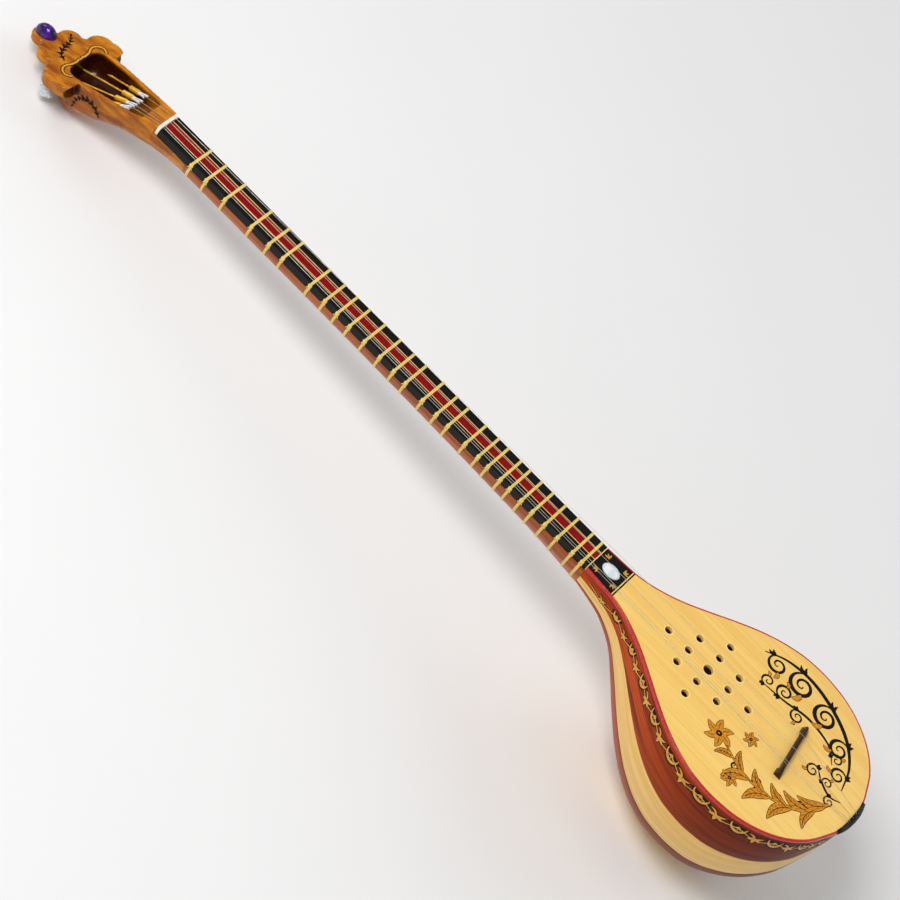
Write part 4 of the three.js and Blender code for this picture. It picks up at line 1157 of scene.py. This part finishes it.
def helix(place, face):
    start, pitch, out = gear["threadStart"], gear["pitch"], gear["threadAt"]
    turn = np.linspace(start, face, int((face - start) / pitch * 12))
    angle = 2 * math.pi * turn / pitch
    return [place @ Vector((out * math.cos(a), y, out * math.sin(a))) for y, a in zip(turn, angle)]


for i, tuner in enumerate(tuners, 1):
    place, face = tuner["place"], tuner["face"]
    knob = {"body": f"tuner_knob_{i}", "place": headToRow}
    barrel = {"body": f"tuner_barrel_{i}", "place": headToRow}
    made(f"knob_{i}_pearl", [lathe(knobProfile(face), 56, alongY(place))], "pearl",
         stands=[f"tuner_knob_{i}"], sharp=40, **knob)
    core = rod(place, gear["core"], gear["coreStart"], face + gear["coreStart"])
    made(f"screw_{i}_core", [core], "brass", **knob)
    strands(f"screw_{i}_thread", [helix(place, face)], gear["thread"], "brass", sides=5, **knob)
    made(f"barrel_{i}_brass", [lathe(gear["barrel"], 40, alongY(place))], "brass",
         stands=[f"tuner_barrel_{i}"], sharp=40, **barrel)
    made(f"hook_{i}_white", [hookForm(place)], "silver", edge=0.3, **barrel)
print("tuners made")


# Strings

def stringPath(route):
    back = toRow.inverted() @ headToRow
    first = [back @ Vector(route[key]) for key in ("end", "bend", "rear")]
    return first + [Vector(route[key]) for key in ("front", "bridge", "tail")]


for i, route in enumerate(routes, 1):
    strands(f"string_{i}_wire", [stringPath(route)], tuning["string"], "steel",
            stands=[f"string_{i}"])
print("strings made")

# Ornament: painted strokes that lie on a surface, each a thin closed ribbon

# A surface takes points of its own plan and gives their places and the way out of it there

def upright(heightAt):
    # Plan: x and y, seen from above
    def surface(points):
        x, y = np.moveaxis(points, -1, 0)
        return np.stack([x, y, heightAt(x, y)], -1), np.array((0, 0, 1))

    return surface


def outward(ahead, across):
    # Unit normals that point to the left
    out = np.cross(ahead, across)
    out /= np.linalg.norm(out, axis=-1)[..., None]
    return out * np.sign(-out[..., :1] - 1e-9)


def onSkin(side):
    # Plan: place along the skin and distance down from the top of the stave
    def surface(points):
        t, down = np.moveaxis(points, -1, 0)
        row = np.clip(np.interp(t, skinT, np.arange(bowl["rows"])), 0, bowl["rows"] - 1.001)
        low = row.astype(int)
        angle = down / (skinDepth[low] - bowl["seat"])
        here, ahead = bowlPoint(low, angle), bowlPoint(low + 1, angle)
        out = outward(ahead - here, bowlPoint(low, angle + 0.01) - here)
        flip = np.array([side, 1, 1])
        return mix(here, ahead, (row - low)[..., None]) * flip, out * flip

    return surface


def onHeadSide(points):
    # Plan: y and the depth below the face, on the left side of the peg box
    def at(y, down):
        share = np.clip(down / headDeep(y), 0, 0.99)
        x = headHalf(y) * (1 - share ** head["power"]) ** (1 / head["power"])
        return np.stack([-x, y, -down], -1)

    y, down = np.moveaxis(points, -1, 0)
    place = at(y, down)
    return place, outward(at(y + 0.5, down) - place, at(y, down + 0.5) - place)


onBoard = upright(boardTop)
onPlate = upright(lambda x, y: rimZ(y))
onHeadFace = upright(lambda x, y: 0 * x)
ribbonForm = {"across": (1, 0.5, 0, -0.5, -1), "edgeDrop": 0.02, "sunk": 0.25, "least": 0.03}


def ribbon(path, widths, surface, lift):
    # Half widths are one number or some numbers spread evenly along the path
    path = np.asarray(path, float)
    widths = np.atleast_1d(np.asarray(widths, float))
    shares, places = (np.linspace(0, 1, len(values)) for values in (path, widths))
    widths = np.maximum(np.interp(shares, places, widths), ribbonForm["least"])
    way = np.gradient(path, axis=0)
    way /= np.maximum(np.linalg.norm(way, axis=1), 1e-9)[:, None]
    side = np.stack([-way[:, 1], way[:, 0]], 1) * widths[:, None]
    lines = [surface(path + side * share) for share in ribbonForm["across"]]
    top = [place + out * (lift - ribbonForm["edgeDrop"] * (k in (0, 4)))
           for k, (place, out) in enumerate(lines)]
    bottom = [place - out * ribbonForm["sunk"] for place, out in (lines[4], lines[0])]
    return loft(np.stack(top + bottom, 1))


class Painting:
    # Strokes in several paints; the strokes of each paint become one piece
    def __init__(self, surface, place=toRow):
        self.surface = surface
        self.place = place
        self.strokes = {}

    def stroke(self, paint, path, widths, lift=0.07):
        self.strokes.setdefault(paint, []).append(ribbon(path, widths, self.surface, lift))

    def outlined(self, paint, path, widths, outline, lifts=(0.05, 0.09)):
        self.stroke("ink", path, widths + outline, lifts[0])
        self.stroke(paint, path, widths, lifts[1])

    def lay(self, sharp=32, **names):
        for paint, name in names.items():
            made(name, self.strokes[paint], paint, place=self.place, sharp=sharp)


def arcPath(x, y, radius, start, end, steps=16):
    a = np.radians(np.linspace(start, end, steps))
    return np.stack([x + radius * np.cos(a), y + radius * np.sin(a)], 1)


def leaf(x, y, turn, length, wide, bend=0.2, steps=12):
    # A pointed leaf from its foot: its mid line and half widths
    s = np.linspace(0, 1, steps)
    a = math.radians(turn)
    along, away = length * s, length * bend * np.sin(math.pi * s)
    c, d = math.cos(a), math.sin(a)
    line = np.stack([x + along * c - away * d, y + along * d + away * c], 1)
    return line, wide * np.sin(math.pi * s ** 0.8) ** 0.9


def alongCurve(points, steps=60):
    # A flowing line through the points, Catmull and Rom's way
    p = np.asarray(points, float)
    p = np.vstack([2 * p[0] - p[1], p, 2 * p[-1] - p[-2]])
    t = np.linspace(0, 1, steps // (len(p) - 3), endpoint=False)[:, None]
    out = []
    for i in range(1, len(p) - 2):
        a, b, c, d = p[i - 1:i + 3]
        bent = (2 * a - 5 * b + 4 * c - d) * t ** 2 + (3 * b - a - 3 * c + d) * t ** 3
        out.append(0.5 * (2 * b + (c - a) * t + bent))
    return np.vstack(out + [p[-2:-1]])


def curl(start, heading, side, radius, turns):
    # A tendril that leaves a point along a heading and winds up; its mid line
    a = np.linspace(0, 2 * math.pi * turns, int(34 * turns))
    r = radius * (1 - a / a[-1]) ** 0.8 + 0.5
    normal = math.radians(heading + side * 90)
    centre = np.array(start) + radius * np.array((math.cos(normal), math.sin(normal)))
    angle = normal + math.pi + side * a
    return centre + np.stack([np.cos(angle), np.sin(angle)], 1) * np.minimum(r, radius)[:, None]


def headingOf(line, i):
    way = line[i + 1] - line[i]
    return math.degrees(math.atan2(way[1], way[0]))


# Garden on the lower soundboard: a plant of long ochre leaves on one side of the bridge,
# dark scrolling tendrils on the other

garden = {
    "outline": 0.55, "thinOutline": 0.45, "margin": 5, "leafWide": 0.16, "petalWide": 0.22,
    "vein": {
        "lift": 0.12, "midrib": (0.3, 0.12), "half": 0.15, "at": (6, 10, 14), "turn": 32, "long": 1.3,
    },
    "eye": (0.13, 0.07),  # radius and half width in shares of the flower's size
    "flowers": [(-37, -612, 13), (-60, -640, 8), (-19, -632, 7)],  # x, y and size
    "branch": [(-8, -706), (-26, -699), (-40, -684), (-47, -664), (-47, -642), (-38, -616)],
    # share of the branch, side, turn and length of each leaf
    "leaves": [
        (0.04, -1, 38, 25), (0.16, 1, 30, 22), (0.22, -1, 44, 24), (0.36, 1, 34, 26), (0.4, -1, 46, 21),
        (0.55, 1, 38, 25), (0.6, -1, 42, 20), (0.74, 1, 46, 24), (0.8, -1, 40, 18), (0.9, 1, 52, 16),
    ],
    # share of the branch, side and radius of each tendril
    "tendrils": [(0.3, -1, 4), (0.5, -1, 4), (0.66, 1, 3.4), (0.7, -1, 4), (0.86, 1, 3)],
    "stems": [
        [(11, -706), (33, -699), (51, -684), (63, -662), (69, -636), (66, -612), (56, -594)],
        [(22, -688), (34, -676), (38, -652), (33, -630), (30, -606)],
        [(2, -712), (-2, -702), (3, -690), (10, -682)],
    ],
    "stemHalf": (1.8, 1.2, 1),
    # stem, share of it, side, radius and turns of each curl
    "curls": [
        (0, 0.08, 1, 7, 1.5), (0, 0.28, 1, 9, 1.6), (0, 0.5, 1, 11, 1.8), (0, 0.72, 1, 11.5, 1.7),
        (0, 0.93, 1, 8.5, 1.5), (1, 0.1, -1, 5, 1.3), (1, 0.62, 1, 6, 1.4), (1, 0.8, -1, 7, 1.5),
        (1, 0.96, -1, 5.5, 1.3), (2, 0.3, 1, 4.6, 1.3), (2, 0.62, -1, 4.4, 1.3), (2, 0.95, 1, 5.6, 1.4),
    ],
    "leaflets": ((-28, 1), (-62, 0.75)),  # turn and size of the two at each curl's foot
}


def veined(paint, x, y, turn, length, bend):
    # A long ochre leaf with a black edge, a midrib and side veins
    line, width = leaf(x, y, turn, length, length * garden["leafWide"], bend, 24)
    vein = garden["vein"]
    paint.outlined("ochre", line, width, garden["outline"])
    paint.stroke("ink", line[2:-3], vein["midrib"][0], vein["lift"])
    paint.stroke("ink", line[2:19], vein["midrib"], vein["lift"])
    for i in vein["at"]:
        for away in (1, -1):
            heading = headingOf(line, i) + away * vein["turn"]
            rib, _ = leaf(*line[i], heading, width[i] * vein["long"], 1, away * 0.1, 5)
            paint.stroke("ink", rib, vein["half"], vein["lift"])


def flower(paint, x, y, size):
    for petal in range(6):
        line, width = leaf(x, y, 20 + 60 * petal, size, size * garden["petalWide"], 0.1)
        paint.outlined("ochre", line, width, garden["thinOutline"])
        paint.stroke("ink", line[3:9], 0.2, garden["vein"]["lift"])
    radius, half = garden["eye"]
    paint.stroke("ink", arcPath(x, y, size * radius, 0, 360, 17), size * half, 0.13)


def ochrePlant(paint):
    branch = alongCurve(garden["branch"], 100)
    paint.stroke("ink", branch, (1.7, 0.9), 0.05)
    paint.stroke("ochre", branch, (1.1, 0.4), 0.09)
    last = len(branch) - 3
    for share, side, turn, length in garden["leaves"]:
        foot = branch[int(share * last)]
        heading = headingOf(branch, int(share * last)) + side * turn
        way = math.radians(heading)
        tip = foot + length * np.array((math.cos(way), math.sin(way)))
        while abs(tip[0]) > boardHalf(tip[1]) - garden["margin"]:
            tip = foot + (tip - foot) * 0.93
        veined(paint, *foot, heading, float(np.hypot(*(tip - foot))), -0.16 * side)
    for share, side, radius in garden["tendrils"]:
        i = int(share * last)
        line = curl(branch[i], headingOf(branch, i) + side * 20, side, radius, 1.4)
        paint.stroke("ink", line, (0.9, 0.3), 0.06)
    for x, y, size in garden["flowers"]:
        flower(paint, x, y, size)


def inkTendrils(paint):
    stems = [alongCurve(stem, 120) for stem in garden["stems"]]
    for stem, wide in zip(stems, garden["stemHalf"]):
        bow = np.sin(np.linspace(0, math.pi, len(stem)))
        paint.stroke("ink", stem, wide * (0.25 + 0.75 * bow))
    for k, share, side, radius, turns in garden["curls"]:
        stem = stems[k]
        i = int(share * (len(stem) - 2))
        heading = headingOf(stem, i)
        line = curl(stem[i], heading + side * 8, side, radius, turns)
        wide = np.interp(np.linspace(0, 1, len(line)), [0, 0.2, 1], [0.4, radius * 0.17, 0.4])
        paint.stroke("ink", line, wide)
        for droop, size in garden["leaflets"]:
            turn = heading + droop * side
            paint.stroke("ink", *leaf(*stem[i], turn, radius * 0.9 * size, 1.8 * size, 0.18 * side))
        j = int(len(line) * 0.32)
        blade, width = leaf(*line[j], heading + side * 60, radius * 0.85, radius * 0.19, 0.2 * side)
        paint.outlined("ochre", blade, width, garden["thinOutline"])


def boardOrnament():
    paint = Painting(onBoard)
    ochrePlant(paint)
    inkTendrils(paint)
    for x, y, r in holePlaces():
        # painted highlight: a pale ring round each hole's edge
        paint.stroke("glint", arcPath(x, y, r + board["chamfer"] + 0.4, 0, 360, 49), 0.32, 0.03)
    paint.lay(ochre="garden_ochre", ink="garden_ink", glint="hole_haloes")


boardOrnament()

# Scroll on the outer staves: flowers and half moons on a wavy stem, under the binding

scroll = {
    "from": 18, "step": 37, "down": 7, "swing": 2, "moon": 7.4, "moonAt": (0.72, -4.2), "left": 24,
    "growth": (0.62, 0.14), "lifts": (0.015, 0.04), "inkLift": 0.012,
    "moonArc": (-4, 184), "moonHalf": [("ink", 1.1, 1.9), ("gold", 0.3, 1.1)], "core": (0.5, 0.42),
    "beadTurns": (10, 170, 8), "beads": (0.8, 1.7, 2.6, 3.3), "beadHalf": (1, 1.35, 1.1, 0.3),
    "rays": (50, 90, 130), "ray": (0.66, 0.55),
    "stem": {"before": 8, "after": 4, "down": 1.2, "ink": (1.35, 0.005), "gold": (0.5, 0.03)},
    "petal": 7, "petalsAt": (0.2, 1),
    # turn, length and width of each petal
    "petals": [(25, 1, 1.7), (90, 1, 1.9), (155, 1, 1.7), (205, 1.2, 1), (-25, 1.2, 1)],
}


def halfMoon(paint, x, y, radius):
    inkLift = scroll["inkLift"]
    moon = arcPath(x, y, radius, *scroll["moonArc"], 30)
    bow = np.sin(np.linspace(0, math.pi, 30))
    inner, half = scroll["core"]
    paint.stroke("ink", arcPath(x, y, radius * inner, 0, 180, 20), radius * half, inkLift)
    for (colour, thin, more), lift in zip(scroll["moonHalf"], scroll["lifts"]):
        paint.stroke(colour, moon, thin + more * bow, lift)
    reach = radius + np.array(scroll["beads"])
    for angle in np.radians(np.linspace(*scroll["beadTurns"])):
        bead = np.stack([x + reach * math.cos(angle), y + reach * math.sin(angle)], 1)
        paint.stroke("ink", bead, scroll["beadHalf"], inkLift)
    long, wide = scroll["ray"]
    for turn in scroll["rays"]:
        paint.stroke("gold", *leaf(x, y + 1, turn, radius * long, wide, 0), scroll["lifts"][1])


def skinScroll(side, name):
    paint = Painting(onSkin(side))
    first, step, down = scroll["from"], scroll["step"], scroll["down"]
    count = int((skinT[-1] - scroll["left"] - first) / step)
    stem = scroll["stem"]
    t = np.linspace(first - stem["before"], first + count * step + stem["after"], count * 36)
    wave = down + stem["down"] + scroll["swing"] * np.sin((t - first) / step * 2 * math.pi)
    for colour in ("ink", "gold"):
        paint.stroke(colour, np.stack([t, wave], 1), *stem[colour])
    for k in range(count):
        at = first + k * step
        size = min(1, scroll["growth"][0] + scroll["growth"][1] * k)
        share, above = scroll["moonAt"]
        halfMoon(paint, at + step * share, down + above, scroll["moon"] * size)
        share, below = scroll["petalsAt"]
        for turn, longer, wide in scroll["petals"]:
            length, bend = scroll["petal"] * longer * size, 0.12 * (longer > 1)
            line, width = leaf(at + step * share, down + below, turn, length, wide * size, bend)
            paint.outlined("gold", line, width * 0.9, 1, scroll["lifts"])
    paint.lay(gold=f"scroll_gold_{name}", ink=f"scroll_ink_{name}")


skinScroll(1, "left")
skinScroll(-1, "right")

# Corner motifs on the end plate

plateMotif = {  # x, y and turn of each; turns of its leaves
    "places": [(8.2, -463.5, 45), (-8.2, -463.5, 135), (8.6, -480, -45), (-8.6, -480, -135)],
    "leaves": (-48, 0, 48), "leaf": (3.9, 0.75), "bow": (0.9, 0.3), "lift": 0.06,
}


def plateCorners():
    paint = Painting(onPlate)
    radius, half = plateMotif["bow"]
    for x, y, turn in plateMotif["places"]:
        for away in plateMotif["leaves"]:
            blade = leaf(x, y, turn + away, *plateMotif["leaf"], 0.1 * np.sign(away))
            paint.stroke("gold", *blade, plateMotif["lift"])
        bow = arcPath(x, y, radius, turn + 90, turn + 270, 10)
        paint.stroke("gold", bow, half, plateMotif["lift"])
    paint.lay(60, gold="plate_corners")


plateCorners()

# On the head: a gold bracket above the cavity and two leafy branches in black

bracket = {
    "half": [
        (0, 85.6), (2.2, 86.2), (4.5, 85.7), (10, 86.2), (15, 88.2), (19, 88.2), (22.4, 85.6),
        (23.6, 82), (22, 78.6), (20.4, 77.4),
    ],
    "outline": 0.75, "lifts": (0.15, 0.22),
}
sprigs = {  # stem, number of leaf pairs, their length, lift
    "face": ([(-12, 92.5), (-8, 99), (0, 102), (8, 103), (13, 106.5)], 7, 5.4, 0.14),
    "side": ([(47, 21), (52, 12.5), (60, 10), (67, 14), (70, 23)], 8, 5.2, 0.16),
}
sprigLeaf = {"turn": 46, "wide": 0.2, "bend": -0.14, "shrink": 0.35, "fullAt": 0.8, "tip": (0.8, 0.16)}


def sprig(paint, stem, count, length, lift):
    form = sprigLeaf
    line = alongCurve(stem)
    paint.stroke("ink", line, (0.7, 0.3), lift)
    for k in range(count):
        i = int((k + 0.6) / count * (len(line) - 5))
        size = length * (1 - form["shrink"] * abs(2 * k / (count - 1) - form["fullAt"]))
        for side in (1, -1):
            turn = headingOf(line, i) + side * form["turn"]
            blade = leaf(*line[i], turn, size, size * form["wide"], form["bend"] * side)
            paint.stroke("ink", *blade, lift)
    long, wide = form["tip"]
    tip = leaf(*line[-2], headingOf(line, len(line) - 2), length * long, length * wide, 0)
    paint.stroke("ink", *tip, lift)


def headOrnament():
    paint = Painting(onHeadFace, headToRow)
    sprig(paint, *sprigs["face"])
    paint.surface = onHeadSide
    sprig(paint, *sprigs["side"])
    paint.surface = onHeadFace
    for side in (1, -1):
        line = alongCurve([(side * x, y) for x, y in bracket["half"]], 80)
        width = np.interp(np.linspace(0, 1, len(line)), [0, 0.1, 0.9, 1], [0.6, 0.85, 0.85, 0.5])
        paint.outlined("gold", line, width, bracket["outline"], bracket["lifts"])
    paint.lay(60, gold="head_gold_lines", ink="head_ink_strokes")


headOrnament()
print("ornament made")

# Floor, light and camera

corners = [(-3, -3, 0), (3, -3, 0), (3, 3, 0), (-3, 3, 0)]
floor = objectOf("floor", meshFrom("floor", [(corners, [(0, 1, 2, 3)])], Matrix()))
f = Finish("pale_floor")
grey = f.noise(f.add("ShaderNodeTexCoord", output="Object"), 6)
paleGrey = f.blend(grey, (0.93, 0.93, 0.93), (0.9, 0.9, 0.9))
floor.data.materials.append(f.look(Base_Color=paleGrey, Roughness=0.9))

studio = {
    "lights": [  # name, place, size, power
        ("key", (-1.2, 0.9, 2.2), 1.0, 42),
        ("fill", (1.8, -1.2, 1.8), 1.8, 12),
        ("rim", (0.3, 2.4, 1.2), 1.0, 8),
    ],
    "world": 0.36,
}
for name, place, size, power in studio["lights"]:
    light = bpy.data.lights.new(name, "AREA")
    light.size = size
    light.energy = power
    lamp = objectOf(name, light)
    lamp.location = place
    lamp.rotation_euler = (-Vector(place)).to_track_quat("-Z", "Y").to_euler()
world = bpy.data.worlds.new("studio")
bpy.context.scene.world = world
world.use_nodes = True
world.node_tree.nodes["Background"].inputs[0].default_value = (1, 1, 1, 1)
world.node_tree.nodes["Background"].inputs[1].default_value = studio["world"]

# The photo's camera, in the level frame: its axes seen from the picture, and the nut's place
view = {
    "axes": ((0.058, 0.729, -0.682), (-0.997, 0.005, -0.080), (-0.055, 0.684, 0.727)),
    "nut": (-322.8, 24.1, -2963.4),
    "lens": 158.28,
}


def seenTurned(vector):
    along, across, toward = vector
    return Vector(((along + across) / math.sqrt(2), (across - along) / math.sqrt(2), toward))


def placeCamera():
    columns = np.array([seenTurned(axis) for axis in view["axes"]]).T
    left, _, right = np.linalg.svd(columns)
    turn = Matrix((left @ right).tolist())
    matrix = turn.transposed().to_4x4()
    matrix.translation = -(turn.transposed() @ seenTurned(view["nut"]))
    camera = bpy.data.cameras.new("photo")
    camera.lens = view["lens"]
    camera.clip_start = 0.1
    camera.clip_end = 30
    eye = objectOf("photo", camera)
    place, rotation, _ = (toRow @ matrix).decompose()
    eye.location = place
    eye.rotation_mode = "QUATERNION"
    eye.rotation_quaternion = rotation
    bpy.context.scene.camera = eye


placeCamera()
bpy.context.scene.view_settings.view_transform = "Standard"
print("scene finished")
